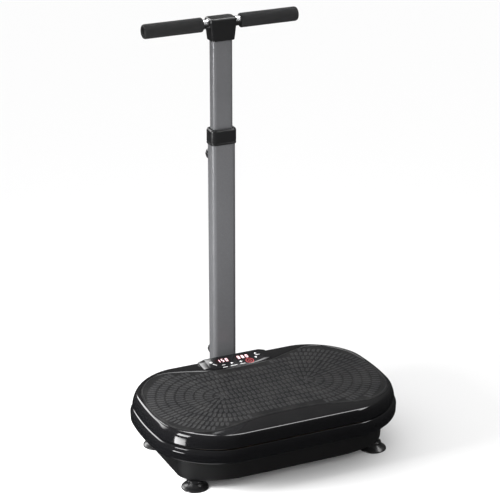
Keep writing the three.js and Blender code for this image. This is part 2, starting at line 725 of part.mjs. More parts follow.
// ---- electrics --------------------------------------------------------------------------------
function makeControlBoard() {
  const x0 = -RAIL_HALF_X + RAIL_WIDTH + 8;
  const x1 = MOTOR_X - 48 - 8;
  const floor = PAN_FLOOR + SEAT_GAP;
  const card = floor + 7;
  const pieces = [box(x0, x1, -55, 55, card, card + 2)];
  for (const x of [x0 + 5, x1 - 5]) {
    for (const y of [-50, 50]) pieces.push(bar("z", 3, floor, card + 1, [x, y], 10));
  }
  pieces.push(
    box(x0 + 10, x1 - 10, -30, -6, card + 1, card + 24),
    bar("z", 9, card + 1, card + 28, [x0 + 20, 14], 14),
    bar("z", 9, card + 1, card + 28, [x1 - 14, 36], 14),
    box(x0 + 8, x0 + 26, 30, 44, card + 1, card + 14),
  );
  add("control_board", shaped(pieces), board);
}

function makePowerSupply() {
  const floor = PAN_FLOOR + SEAT_GAP;
  const x0 = MOTOR_X + 105;
  const lid = box(x0 + 8, x0 + 62, 36, 84, floor + 4, floor + 38);
  add("power_supply", shaped([box(x0, x0 + 70, 30, 90, floor, floor + 5), lid]), steel);
}

function makeInlet() {
  const lean = (PAN_DRAFT * (INLET_Z + INLET_FLANGE.z - PAN_BOTTOM)) / (PAN_TOP - PAN_BOTTOM);
  const face = -PAN_HALF_LENGTH - lean - SEAT_GAP;
  const front = face - INLET_FLANGE.thickness;
  const inside = -PAN_HALF_LENGTH + INLET_BODY.depth;
  const block = (half, x0, x1) =>
    box(x0, x1, INLET_Y - half.y, INLET_Y + half.y, INLET_Z - half.z, INLET_Z + half.z);
  const mouthY = INLET_Y + SOCKET_MOUTH.y;
  const mouth = box(
    front - 1,
    front + SOCKET_MOUTH.depth,
    mouthY - SOCKET_MOUTH.halfY,
    mouthY + SOCKET_MOUTH.halfY,
    INLET_Z - SOCKET_MOUTH.halfZ,
    INLET_Z + SOCKET_MOUTH.halfZ,
  );
  const rockerY = INLET_Y + ROCKER.y;
  const rockerX = front + 4.2;
  const slotHalf = ROCKER.reach + 1.6;
  const slot = box(
    front - 1,
    rockerX + 8,
    rockerY - ROCKER.halfY - RUN_GAP,
    rockerY + ROCKER.halfY + RUN_GAP,
    INLET_Z - slotHalf,
    INLET_Z + slotHalf,
  );
  add(
    "inlet_module",
    shaped([block(INLET_FLANGE, front, face), block(INLET_BODY, face - 1, inside)], [mouth, slot]),
    satinBlack,
  );
  // The rocker's section: a shallow vee outside and a narrow heel inside, resting tilted.
  const section = [
    [5.2, ROCKER.reach],
    [3.6, 0],
    [5.2, -ROCKER.reach],
    [-1.5, -ROCKER.reach + 1],
    [-4.5, -4],
    [-4.5, 4],
    [-1.5, ROCKER.reach - 1],
  ];
  const cos = Math.cos(ROCKER.swing);
  const sin = Math.sin(ROCKER.swing);
  const tilted = section.map(([out, up]) => [
    rockerX - (out * cos - up * sin),
    INLET_Z + out * sin + up * cos,
  ]);
  add(
    "rocker_switch",
    plateXZ(tilted, rockerY - ROCKER.halfY, rockerY + ROCKER.halfY),
    satinBlack,
  );
}

// ---- deck -------------------------------------------------------------------------------------
// The mat's outline: waisted along both long sides, fuller over the four corners.
function matOutline(grow) {
  const endX = DECK_HALF_LENGTH - MAT_MARGIN;
  const wide = DECK_HALF_WIDTH;
  const quarter = (side, waist, lobe, lobeX, end) => [
    [0, side * (wide - waist)],
    [lobeX * 0.42, side * (wide - waist + (waist - lobe) * 0.14)],
    [lobeX * 0.72, side * (wide - lobe - (waist - lobe) * 0.35)],
    [lobeX, side * (wide - lobe)],
    [lobeX + 42, side * (wide - lobe - 9)],
    ...end.map(([inset, y]) => [endX - inset, side * y]),
  ];
  const front = quarter(-1, 71.5, 40, 208, [[46, 150], [16.5, 113], [3.5, 60]]);
  const rear = quarter(1, 68.5, 25.5, 206, [[47, 156], [20.5, 114], [7.5, 62]]);
  const mirrored = (half) => half.slice(1).map(([x, y]) => [-x, y]);
  const loop = [
    ...front,
    [endX, 0],
    ...rear.slice(1).reverse(),
    rear[0],
    ...mirrored(rear),
    [-endX, 0],
    ...mirrored(front).reverse(),
  ];
  const curve = new THREE.CatmullRomCurve3(
    loop.map(([x, y]) => new THREE.Vector3(x, y, 0)),
    true,
    "centripetal",
  );
  const points = curve.getPoints(72).slice(0, -1);
  return points.map((p, i) => {
    const before = points[(i + points.length - 1) % points.length];
    const after = points[(i + 1) % points.length];
    const along = new THREE.Vector2(after.x - before.x, after.y - before.y).normalize();
    return new THREE.Vector2(p.x + along.y * grow, p.y - along.x * grow);
  });
}

const slab = (outline, z0, z1) =>
  new THREE.ExtrudeGeometry(new THREE.Shape(outline), {
    depth: z1 - z0,
    bevelEnabled: false,
  }).translate(0, 0, z0);

function makeUpperShell() {
  const w = SHELL_WALL;
  const rings = [
    deckRing(-w - 2, -w - 2, CEILING),
    deckRing(12 - w, 5.5 - w, UPPER_SHELL_BOTTOM),
    deckRing(12, 5.5, UPPER_SHELL_BOTTOM),
    deckRing(10, 4.2, UPPER_SHELL_BOTTOM + 12),
    deckRing(6, 2.4, UPPER_SHELL_BOTTOM + 24),
    deckRing(2.5, 1.2, DECK_TOP - 4),
    deckRing(0, 0, DECK_TOP - 1.2),
    deckRing(-2.5, -2.5, DECK_TOP),
  ];
  const recess = slab(matOutline(SEAT_GAP), DECK_TOP - MAT_RECESS, DECK_TOP + 5);
  add("upper_shell", shaped([loft(rings)], [recess]), glossBlack);
}

function makeLowerShell() {
  const gx = LOWER_SHELL_FLARE_X;
  const gy = LOWER_SHELL_FLARE_Y;
  const w = SHELL_WALL;
  const crease = LOWER_SHELL_TOP - 13.5;
  const rings = [
    deckRing(gx - 2, gy - 2, LOWER_SHELL_BOTTOM),
    deckRing(gx - 0.5, gy - 1, LOWER_SHELL_BOTTOM + 3),
    deckRing(gx, gy, crease),
    deckRing(gx - 5, gy - 2, LOWER_SHELL_TOP - 3),
    deckRing(gx - 9, gy - 3, LOWER_SHELL_TOP),
    deckRing(-8, -8, LOWER_SHELL_TOP),
    deckRing(-8, -8, LOWER_SHELL_TOP - w),
    deckRing(gx - w, gy - w, crease - 3),
    deckRing(gx - w - 0.5, gy - w - 1, LOWER_SHELL_BOTTOM + w + 1),
    deckRing(-14, -16, LOWER_SHELL_BOTTOM + w),
    deckRing(-14, -16, LOWER_SHELL_BOTTOM),
  ];
  add("lower_shell", loft(rings, true), glossBlack);
}

function makeMat() {
  const bottom = DECK_TOP - MAT_RECESS + SEAT_GAP;
  add("deck_mat", slab(matOutline(0), bottom, bottom + MAT_THICKNESS), matRubber);
}

function makeDeckFrame() {
  const railEnd = RAIL_HALF_X + 12;
  const wall = FRAME_WALL;
  // A channel open downwards, lying along X or Y.
  const channel = (x0, x1, y0, y1, alongX) => {
    const outer = box(x0, x1, y0, y1, FRAME_BOTTOM, FRAME_TOP);
    const inner = alongX
      ? box(x0 - 1, x1 + 1, y0 + wall, y1 - wall, FRAME_BOTTOM - 1, FRAME_TOP - wall)
      : box(x0 + wall, x1 - wall, y0 - 1, y1 + 1, FRAME_BOTTOM - 1, FRAME_TOP - wall);
    return shaped([outer], [inner]);
  };
  const half = RAIL_WIDTH / 2;
  const pieces = [];
  for (const [, sy] of sides) {
    pieces.push(channel(-railEnd, railEnd, sy * RAIL_Y - half, sy * RAIL_Y + half, true));
  }
  for (const x of [-railEnd + 40, -CRANK_X + 40, CRANK_X - 75, railEnd - 40]) {
    pieces.push(channel(x - 15, x + 15, -RAIL_Y + half - 1, RAIL_Y - half + 1, false));
  }
  const cheek = (x, halfX, sy, near, thickness, low) => {
    const [y0, y1] = span(sy, near, near + thickness);
    return box(x - halfX, x + halfX, y0, y1, low, FRAME_TOP - 1);
  };
  const holes = [];
  for (const [, sy] of sides) {
    const gap = POST_THICKNESS / 2 + 3;
    for (const near of [RAIL_Y - gap - 4, RAIL_Y + gap]) {
      pieces.push(cheek(0, 20, sy, near, 4, PIVOT_Z - 18));
    }
    for (const near of [RAIL_Y - 14, RAIL_Y + 10]) {
      pieces.push(cheek(CRANK_X, 12, sy, near, 4, ROD_PIN_Z - 10));
    }
    const [y0, y1] = span(sy, RAIL_Y - 30, RAIL_Y + 30);
    holes.push(
      bar("y", boreFor(PIVOT_PIN_RADIUS, SEAT_GAP), y0, y1, [0, PIVOT_Z]),
      bar("y", boreFor(ROD_PIN_RADIUS, SEAT_GAP), y0, y1, [CRANK_X, ROD_PIN_Z]),
    );
  }
  add("deck_frame", shaped(pieces, holes), blackSteel);
}

function makeDeckBoard() {
  const ring = (z) => deckRing(-BOARD_INSET, -BOARD_INSET, z);
  add("deck_board", loft([ring(BOARD_BOTTOM), ring(BOARD_BOTTOM + BOARD_THICKNESS)]), plywood);
}

// ---- console ----------------------------------------------------------------------------------
const CONSOLE = { half: 100, topHalf: 82, front: 66.5, back: 3, rise: 8.2 };
const DISPLAY = { halfX: 21, halfY: 10, thickness: 1.2, x: [-36, 23], y: 24 };

function makeConsole() {
  const front = DECK_HALF_WIDTH - CONSOLE.front;
  const back = DECK_HALF_WIDTH - CONSOLE.back;
  const foot = DECK_TOP + SEAT_GAP;
  const edgeBack = (x) => front + 18 * (x / CONSOLE.topHalf) ** 2;
  const slope = CONSOLE.rise / (back - front);
  const height = (y) => foot + 1 + slope * (y - front);
  const steps = [-1, -0.75, -0.5, -0.25, 0, 0.25, 0.5, 0.75, 1];
  const bottom = [
    ...steps.map((t) => [t * CONSOLE.half, edgeBack(t * CONSOLE.topHalf)]),
    [CONSOLE.half, back - 6],
    [CONSOLE.half - 8, back],
    [-CONSOLE.half + 8, back],
    [-CONSOLE.half, back - 6],
  ];
  const top = [
    ...steps.map((t) => [t * CONSOLE.topHalf, edgeBack(t * CONSOLE.topHalf) + 0.6]),
    [CONSOLE.topHalf, back - 9],
    [CONSOLE.topHalf - 6, back - 3],
    [-CONSOLE.topHalf + 6, back - 3],
    [-CONSOLE.topHalf, back - 9],
  ];
  const wedge = loft([
    bottom.map(([x, y]) => new THREE.Vector3(x, y, foot)),
    top.map(([x, y]) => new THREE.Vector3(x, y, height(y))),
  ]);
  const tilt = Math.atan(slope);
  const lens = (x, growXY, sink, thickness) => {
    const y = back - DISPLAY.y;
    return new THREE.BoxGeometry(2 * DISPLAY.halfX + growXY, 2 * DISPLAY.halfY + growXY, thickness)
      .translate(0, 0, thickness / 2 - sink)
      .rotateX(tilt)
      .translate(x, y, height(y));
  };
  const pockets = DISPLAY.x.map((x) => lens(x, 2 * SEAT_GAP, DISPLAY.thickness + SEAT_GAP, 6));
  add("console_panel", shaped([wedge], pockets), glossBlack);
  ends.forEach(([end], i) => {
    add(`display_${end}`, lens(DISPLAY.x[i], 0, DISPLAY.thickness, DISPLAY.thickness), displayGlass);
  });
}

// ---- mast -------------------------------------------------------------------------------------
function makeMastBracket() {
  const outerX = LOWER_TUBE.width / 2 + SOCKET_PLAY + SOCKET_WALL;
  const outerY = LOWER_TUBE.depth / 2 + SOCKET_PLAY + SOCKET_WALL;
  const corner = LOWER_TUBE.corner + SOCKET_PLAY;
  const tongueBottom = RAIL_TOP + SEAT_GAP;
  const tongueTop = tongueBottom + TONGUE.thickness;
  const socket = tubeBar(2 * outerX, 2 * outerY, corner + SOCKET_WALL, SOCKET_BOTTOM, SOCKET_TOP);
  const hollow = tubeBar(
    2 * (outerX - SOCKET_WALL),
    2 * (outerY - SOCKET_WALL),
    corner,
    SOCKET_BOTTOM + SOCKET_WALL,
    SOCKET_TOP + 1,
  );
  const front = MAST_Y - outerY + 1;
  const rear = MAST_Y + outerY;
  const shoulder = SOCKET_TOP - SOCKET_EAR.rise;
  const earCut = (x0, x1, y1) => box(x0, x1, front - 2, y1, shoulder, SOCKET_TOP + 1);
  const cuts = [
    earCut(-outerX - 1, outerX + 1, rear - SOCKET_WALL),
    earCut(-outerX - 1, -SOCKET_EAR.halfX, rear + 1),
    earCut(SOCKET_EAR.halfX, outerX + 1, rear + 1),
  ];
  const ribStart = PAN_HALF_WIDTH + 10;
  const ribTop = tongueTop + 14;
  const tongue = box(
    -TONGUE.halfX,
    TONGUE.halfX,
    RAIL_Y - 13,
    front,
    tongueBottom,
    tongueTop,
  );
  const fork = box(
    -TONGUE.forkX,
    TONGUE.forkX,
    RAIL_Y - 20,
    RAIL_HALF_Y + 4,
    tongueBottom - 1,
    tongueTop + 1,
  );
  const rib = (x) => box(x - 2.5, x + 2.5, ribStart, front, SOCKET_BOTTOM + 4, ribTop);
  const boss = bar("y", 10, rear - 1, rear + BOSS_LENGTH, [0, MAST_KNOB_Z]);
  const bolts = ends.map(([, ex]) =>
    bar("z", boreFor(SCREW_RADIUS, RUN_GAP, 12), RAIL_TOP, tongueTop + 1, [ex * BOLT_X, RAIL_Y], 12),
  );
  const screwWay = bar(
    "y",
    boreFor(SCREW_RADIUS, SEAT_GAP, 16),
    MAST_REAR - 5,
    rear + BOSS_LENGTH + 1,
    [0, MAST_KNOB_Z],
    16,
  );
  add(
    "mast_bracket",
    shaped(
      [socket, tongue, rib(3 - outerX), rib(outerX - 3), boss],
      [hollow, screwWay, fork, ...cuts, ...bolts],
    ),
    blackSteel,
  );
  for (const [end, ex] of ends) {
    const at = [ex * BOLT_X, RAIL_Y];
    const headFoot = tongueTop + SEAT_GAP;
    add(
      `bracket_bolt_${end}`,
      shaped([
        bar("z", SCREW_RADIUS, RAIL_TOP - 14, headFoot + 1, at, 12),
        bar("z", 6.6, headFoot, headFoot + 5.3, at, 6),
      ]),
      steel,
    );
  }
}

function makeTubes() {
  const way = (z) =>
    bar("y", boreFor(SCREW_RADIUS, SEAT_GAP, 16), MAST_REAR - 8, MAST_REAR + 4, [0, z], 16);
  const lower = tubeWall(LOWER_TUBE, TUBE_WALL, LOWER_TUBE_BOTTOM, LOWER_TUBE_TOP);
  add("lower_tube", shaped([lower], [way(HEIGHT_KNOB_Z), way(MAST_KNOB_Z)]), greyTube);
  const upper = tubeWall(UPPER_TUBE, TUBE_WALL, UPPER_TUBE_BOTTOM, UPPER_TUBE_TOP);
  add("upper_tube", upper, greyTube);
}

// A sleeve between a hole and the upper tube, with its own play on each face.
function sleeve(outerGap, innerGap, z0, z1) {
  const outer = tubeBar(
    LOWER_TUBE.width - 2 * (TUBE_WALL + outerGap),
    LOWER_TUBE.depth - 2 * (TUBE_WALL + outerGap),
    LOWER_TUBE.corner - TUBE_WALL,
    z0,
    z1,
  );
  const inner = tubeBar(
    UPPER_TUBE.width + 2 * innerGap,
    UPPER_TUBE.depth + 2 * innerGap,
    UPPER_TUBE.corner,
    z0 - 1,
    z1 + 1,
  );
  return shaped([outer], [inner]);
}

function makeSleeves() {
  const top = LOWER_TUBE_TOP - 2;
  add("guide_sleeve", sleeve(SEAT_GAP, RUN_GAP, top - 45, top), satinBlack);
  add(
    "slide_bush",
    sleeve(RUN_GAP, SEAT_GAP, UPPER_TUBE_BOTTOM, UPPER_TUBE_BOTTOM + 30),
    satinBlack,
  );
}

function makeCollar() {
  const lip = 3.3;
  const top = LOWER_TUBE_TOP + lip;
  const outer = tubeBar(
    LOWER_TUBE.width + 2 * COLLAR_WALL_X,
    LOWER_TUBE.depth + 2 * COLLAR_WALL_Y,
    LOWER_TUBE.corner + 2,
    top - COLLAR_HEIGHT,
    top,
  );
  const around = tubeBar(
    LOWER_TUBE.width + 2 * SEAT_GAP,
    LOWER_TUBE.depth + 2 * SEAT_GAP,
    LOWER_TUBE.corner,
    top - COLLAR_HEIGHT - 1,
    LOWER_TUBE_TOP + SEAT_GAP,
  );
  const through = tubeBar(
    UPPER_TUBE.width + 2 * RUN_GAP,
    UPPER_TUBE.depth + 2 * RUN_GAP,
    UPPER_TUBE.corner,
    LOWER_TUBE_TOP - 5,
    top + 1,
  );
  add("clamp_collar", shaped([outer], [around, through]), satinBlack);
}

// A knob with its screw: the head runs from seat to the tip, the screw from the head inwards.
function knob(radius, seat, screwTip, z) {
  const profile = [
    [0, screwTip],
    [SCREW_RADIUS, screwTip],
    [SCREW_RADIUS, seat],
    [radius * 0.62, seat],
    [radius * 0.66, seat + 4],
    [radius * 0.94, seat + 8],
    [radius, seat + 11],
    [radius, KNOB_TIP - 9],
    [radius * 0.93, KNOB_TIP - 4],
    [radius * 0.72, KNOB_TIP - 1],
    [radius * 0.4, KNOB_TIP],
    [0, KNOB_TIP],
  ];
  return turned(profile, "y", [0, z]);
}

function makeKnobs() {
  const nutFoot = MAST_REAR + SEAT_GAP;
  const nut = [
    [boreFor(SCREW_RADIUS, SEAT_GAP), nutFoot],
    [12, nutFoot],
    [11, nutFoot + BOSS_LENGTH],
    [boreFor(SCREW_RADIUS, SEAT_GAP), nutFoot + BOSS_LENGTH],
  ];
  add("knob_nut", turnedRing(nut, "y", [0, HEIGHT_KNOB_Z]), steel);
  const upperRear = MAST_Y + UPPER_TUBE.depth / 2;
  add(
    "height_knob",
    knob(HEIGHT_KNOB_RADIUS, nutFoot + BOSS_LENGTH + RUN_GAP, upperRear + RUN_GAP, HEIGHT_KNOB_Z),
    satinBlack,
  );
  const socketRear = MAST_REAR + SOCKET_PLAY + SOCKET_WALL;
  add(
    "mast_knob",
    knob(MAST_KNOB_RADIUS, socketRear + BOSS_LENGTH + RUN_GAP, MAST_REAR - 6, MAST_KNOB_Z),
    satinBlack,
  );
}

function makeHead() {
  const top = HEAD_BOTTOM + HEAD_HEIGHT;
  const corner = [HEAD_CORNER, HEAD_CORNER];
  const ring = (halfX, halfY, z) =>
    roundedOutline(halfX, halfY, corner, corner, 4).map(
      (p) => new THREE.Vector3(p.x, p.y + MAST_Y, z),
    );
  const block = loft([
    ring(HEAD_BOTTOM_HALF.x - 1, HEAD_BOTTOM_HALF.y - 1, HEAD_BOTTOM),
    ring(HEAD_BOTTOM_HALF.x, HEAD_BOTTOM_HALF.y, HEAD_BOTTOM + 1.5),
    ring(HEAD_TOP_HALF.x, HEAD_TOP_HALF.y, top - 6),
    ring(HEAD_TOP_HALF.x - 1, HEAD_TOP_HALF.y - 1, top - 2),
    ring(HEAD_TOP_HALF.x - 4, HEAD_TOP_HALF.y - 4, top),
  ]);
  const pocket = tubeBar(
    UPPER_TUBE.width + 2 * SEAT_GAP,
    UPPER_TUBE.depth + 2 * SEAT_GAP,
    UPPER_TUBE.corner,
    HEAD_BOTTOM - 1,
    UPPER_TUBE_TOP + SEAT_GAP,
  );
  const reach = HEAD_TOP_HALF.x + 5;
  const bore = bar("x", boreFor(BAR_RADIUS, SEAT_GAP), -reach, reach, [MAST_Y, BAR_Z]);
  add("head_housing", shaped([block], [pocket, bore]), satinBlack);
}

function makeHandlebar() {
  const at = [MAST_Y, BAR_Z];
  const inner = BAR_RADIUS - TUBE_WALL;
  const tube = [
    [inner, -BAR_HALF_LENGTH],
    [BAR_RADIUS, -BAR_HALF_LENGTH],
    [BAR_RADIUS, BAR_HALF_LENGTH],
    [inner, BAR_HALF_LENGTH],
  ];
  add("handlebar_tube", turnedRing(tube, "x", at), greyTube);
  const bore = boreFor(BAR_RADIUS, SEAT_GAP);
  const grip = [
    [bore, GRIP_START],
    [GRIP_RADIUS - 2, GRIP_START],
    [GRIP_RADIUS, GRIP_START + 2],
    [GRIP_RADIUS, GRIP_END - 6],
    [GRIP_RADIUS - 1.4, GRIP_END - 2],
    [GRIP_RADIUS - 3.5, GRIP_END],
    [bore, GRIP_END],
  ];
  const cap = [
    [0, BAR_HALF_LENGTH - 12],
    [inner - SEAT_GAP, BAR_HALF_LENGTH - 12],
    [inner - SEAT_GAP, BAR_HALF_LENGTH + SEAT_GAP],
    [BAR_RADIUS - 0.4, BAR_HALF_LENGTH + SEAT_GAP],
    [BAR_RADIUS - 0.4, GRIP_END - 0.5],
    [0, GRIP_END - 0.5],
  ];
  // The profiles are drawn for the right-hand end; a half turn about Z gives the left one.
  for (const [end, ex] of ends) {
    const placed = (geometry) => (ex > 0 ? geometry : geometry.rotateZ(Math.PI));
    const centred = (profile, turn) => placed(turn(profile, "x", [0, 0])).translate(0, ...at);
    add(`grip_${end}`, centred(grip, turnedRing), foam);
    add(`end_cap_${end}`, centred(cap, turned), satinBlack);
  }
}

makeFeet();
makeBasePan();
makeChassis();
makeBuffers();
makePivots();
makeCrankBlocks();
makeCrankshaft();
makePulleysAndBelt();
makeRods();
makeMotor();
makeControlBoard();
makePowerSupply();
makeInlet();
makeUpperShell();
makeLowerShell();
makeMat();
makeDeckFrame();
makeDeckBoard();
makeConsole();
makeMastBracket();
makeTubes();
makeSleeves();
makeCollar();
makeKnobs();
makeHead();
makeHandlebar();

const vibrationPlate = new THREE.Group();
vibrationPlate.add(machine);

export default vibrationPlate;
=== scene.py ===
"""Looks of an oscillating vibration plate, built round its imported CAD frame.

Every piece is worked out in metres in the frame's own axes: +Z up, +X to the
user's right, +Y towards the mast. Places come from the boxes of the CAD nodes,
so a piece stands where the solid that it covers stands.
"""
import logging
import math
from dataclasses import dataclass, field, replace
from enum import Enum
from typing import Optional, Sequence

import bmesh
import bpy
import numpy as np
from mathutils import Euler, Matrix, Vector


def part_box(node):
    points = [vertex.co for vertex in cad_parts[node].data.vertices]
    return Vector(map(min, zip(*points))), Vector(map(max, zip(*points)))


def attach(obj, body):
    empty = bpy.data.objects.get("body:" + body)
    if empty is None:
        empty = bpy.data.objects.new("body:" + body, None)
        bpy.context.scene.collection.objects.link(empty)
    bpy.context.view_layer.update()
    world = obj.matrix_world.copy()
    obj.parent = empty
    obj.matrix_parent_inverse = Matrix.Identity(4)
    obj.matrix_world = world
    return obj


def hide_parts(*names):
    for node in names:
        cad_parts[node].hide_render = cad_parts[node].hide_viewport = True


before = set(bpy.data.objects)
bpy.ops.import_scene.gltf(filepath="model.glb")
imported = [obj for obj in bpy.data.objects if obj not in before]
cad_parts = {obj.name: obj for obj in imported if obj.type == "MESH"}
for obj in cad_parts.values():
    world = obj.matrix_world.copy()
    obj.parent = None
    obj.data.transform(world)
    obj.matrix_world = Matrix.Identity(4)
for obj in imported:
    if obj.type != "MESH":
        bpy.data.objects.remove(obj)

Array = np.ndarray
Color = tuple[float, float, float]
Socket = bpy.types.NodeSocket

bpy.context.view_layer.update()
MM = 0.001
SHARP_ANGLE = math.radians(38.0)
log = logging.getLogger("vibration_plate")


# ---- shapes as arrays -------------------------------------------------------------------------
def node_box(node: str) -> tuple[Vector, Vector]:
    """Return the lowest and highest corner of a CAD node."""
    low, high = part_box(node)
    return Vector(low), Vector(high)


def rounded_outline(
    half_x: float, half_y: float, front: Sequence[float], rear: Sequence[float], arc: int = 24, run: int = 10
) -> Array:
    """Outline a rectangle whose corners are quarter ellipses, anticlockwise.

    A corner's point at angle a is its centre + (rx cos a, ry sin a), and a side is the straight share
    between one corner's last point and the next one's first.

    Args:
        half_x: Half of the length along X.
        half_y: Half of the width along Y.
        front: Radii along X and Y of the two corners at low Y.
        rear: Radii along X and Y of the two corners at high Y.
        arc: Points on each corner.
        run: Points on each side between its corners.

    Returns:
        The points, one row each.
    """
    sign = np.array([[1, 1], [-1, 1], [-1, -1], [1, -1]])
    radii = np.array([rear, rear, front, front], dtype=float)
    turn = (np.arange(4)[:, None] + np.linspace(0, 1, arc)[None, :]) * np.pi / 2
    centre = sign * (np.array([half_x, half_y]) - radii)
    around = np.stack([np.cos(turn), np.sin(turn)], axis=-1)
    arcs = centre[:, None, :] + radii[:, None, :] * around
    share = np.linspace(0, 1, run + 2)[1:-1][None, :, None]
    runs = arcs[:, -1:] * (1 - share) + np.roll(arcs[:, :1], -1, axis=0) * share
    return np.concatenate([arcs, runs], axis=1).reshape(-1, 2)


def smooth_loop(points: Array, steps: int) -> Array:
    """Pass a closed centripetal Catmull-Rom curve through points.

    The knots are spaced by the square root of the distance between points, and each span is blended by the
    Barry-Goldman pyramid of straight mixes.

    Args:
        points: The points to pass through, one row each.
        steps: Points made for each span.

    Returns:
        The curve's points, one row each.
    """
    p0, p1, p2, p3 = (np.roll(points, shift, axis=0)[:, None, :] for shift in (1, 0, -1, -2))

    def gap(a: Array, b: Array) -> Array:
        """Return the knot spacing between two points."""
        return np.sqrt(np.linalg.norm(b - a, axis=-1, keepdims=True))

    t1 = gap(p0, p1)
    t2 = t1 + gap(p1, p2)
    t3 = t2 + gap(p2, p3)
    t = t1 + (t2 - t1) * np.linspace(0, 1, steps, endpoint=False)[None, :, None]
    a1 = ((t1 - t) * p0 + t * p1) / t1
    a2 = ((t2 - t) * p1 + (t - t1) * p2) / (t2 - t1)
    a3 = ((t3 - t) * p2 + (t - t2) * p3) / (t3 - t2)
    b1 = ((t2 - t) * a1 + t * a2) / t2
    b2 = ((t3 - t) * a2 + (t - t1) * a3) / (t3 - t1)
    return (((t2 - t) * b1 + (t - t1) * b2) / (t2 - t1)).reshape(-1, 2)


def grown(outline: Array, distance: float) -> Array:
    """Move each point of an outline outwards, square to the line between its neighbours.

    Args:
        outline: The outline, anticlockwise.
        distance: How far its points move.

    Returns:
        The grown outline.
    """
    along = np.roll(outline, -1, axis=0) - np.roll(outline, 1, axis=0)
    along /= np.linalg.norm(along, axis=1, keepdims=True)
    return outline + distance * np.stack([along[:, 1], -along[:, 0]], axis=1)


def seen_from_middle(outline: Array, angles: Array) -> Array:
    """Resample an outline where rays from the origin cross it.

    Args:
        outline: The outline, which each ray crosses once.
        angles: The rays' angles.

    Returns:
        One point for each angle.
    """
    bearing = np.arctan2(outline[:, 1], outline[:, 0])
    order = np.argsort(bearing)
    reach = np.interp(angles, bearing[order], np.hypot(*outline.T)[order], period=2 * np.pi)
    return reach[:, None] * np.stack([np.cos(angles), np.sin(angles)], axis=1)


def eased(profile: Sequence[Sequence[float]], reach: float, steps: int = 5) -> Array:
    """Round the inner corners of a profile in any number of dimensions.

    Each corner p gives way to the quadratic curve that leaves the line before it at the given reach, is
    pulled towards p and joins the line after it at the same reach, or half way along a shorter line.

    Args:
        profile: The profile's points.
        reach: How far from a corner its curve starts.
        steps: Points on each curve.

    Returns:
        The rounded profile, one row each.
    """
    corners = np.asarray(profile, dtype=float)
    share = np.linspace(0, 1, steps)[:, None]
    pieces = [corners[:1]]
    for before, corner, after in zip(corners[:-2], corners[1:-1], corners[2:]):
        start = corner + (before - corner) * min(0.5, reach / max(np.linalg.norm(before - corner), 1e-9))
        end = corner + (after - corner) * min(0.5, reach / max(np.linalg.norm(after - corner), 1e-9))
        pieces.append((1 - share) ** 2 * start + 2 * share * (1 - share) * corner + share**2 * end)
    pieces.append(corners[-1:])
    return np.concatenate(pieces)


def standing(flat: Array, z: float) -> Array:
    """Give a flat outline its height."""
    return np.column_stack([flat, np.full(len(flat), z)])


class Axis(Enum):
    """The axis that a turned piece goes round."""

    X = 0
    Y = 1
    Z = 2


def turned(profile: Sequence[Sequence[float]], axis: Axis, centre: Sequence[float], sides: int = 64) -> Array:
    """Carry a profile round an axis.

    A point of the profile is (radius, station): its distance from the axis and its station along it.

    Args:
        profile: Radius and station of each point.
        axis: The axis to go round.
        centre: A point on the axis that the stations count from.
        sides: Points round the axis.

    Returns:
        The rings, as an array of ring by point by coordinate.
    """
    radius, station = np.asarray(profile, dtype=float).T
    angle = np.linspace(0, 2 * np.pi, sides, endpoint=False)
    first, second = radius[:, None] * np.cos(angle), radius[:, None] * np.sin(angle)
    along = np.broadcast_to(station[:, None], first.shape)
    order = {Axis.X: (along, first, second), Axis.Y: (second, along, first), Axis.Z: (first, second, along)}
    return np.stack(order[axis], axis=-1) + np.asarray(centre, dtype=float)


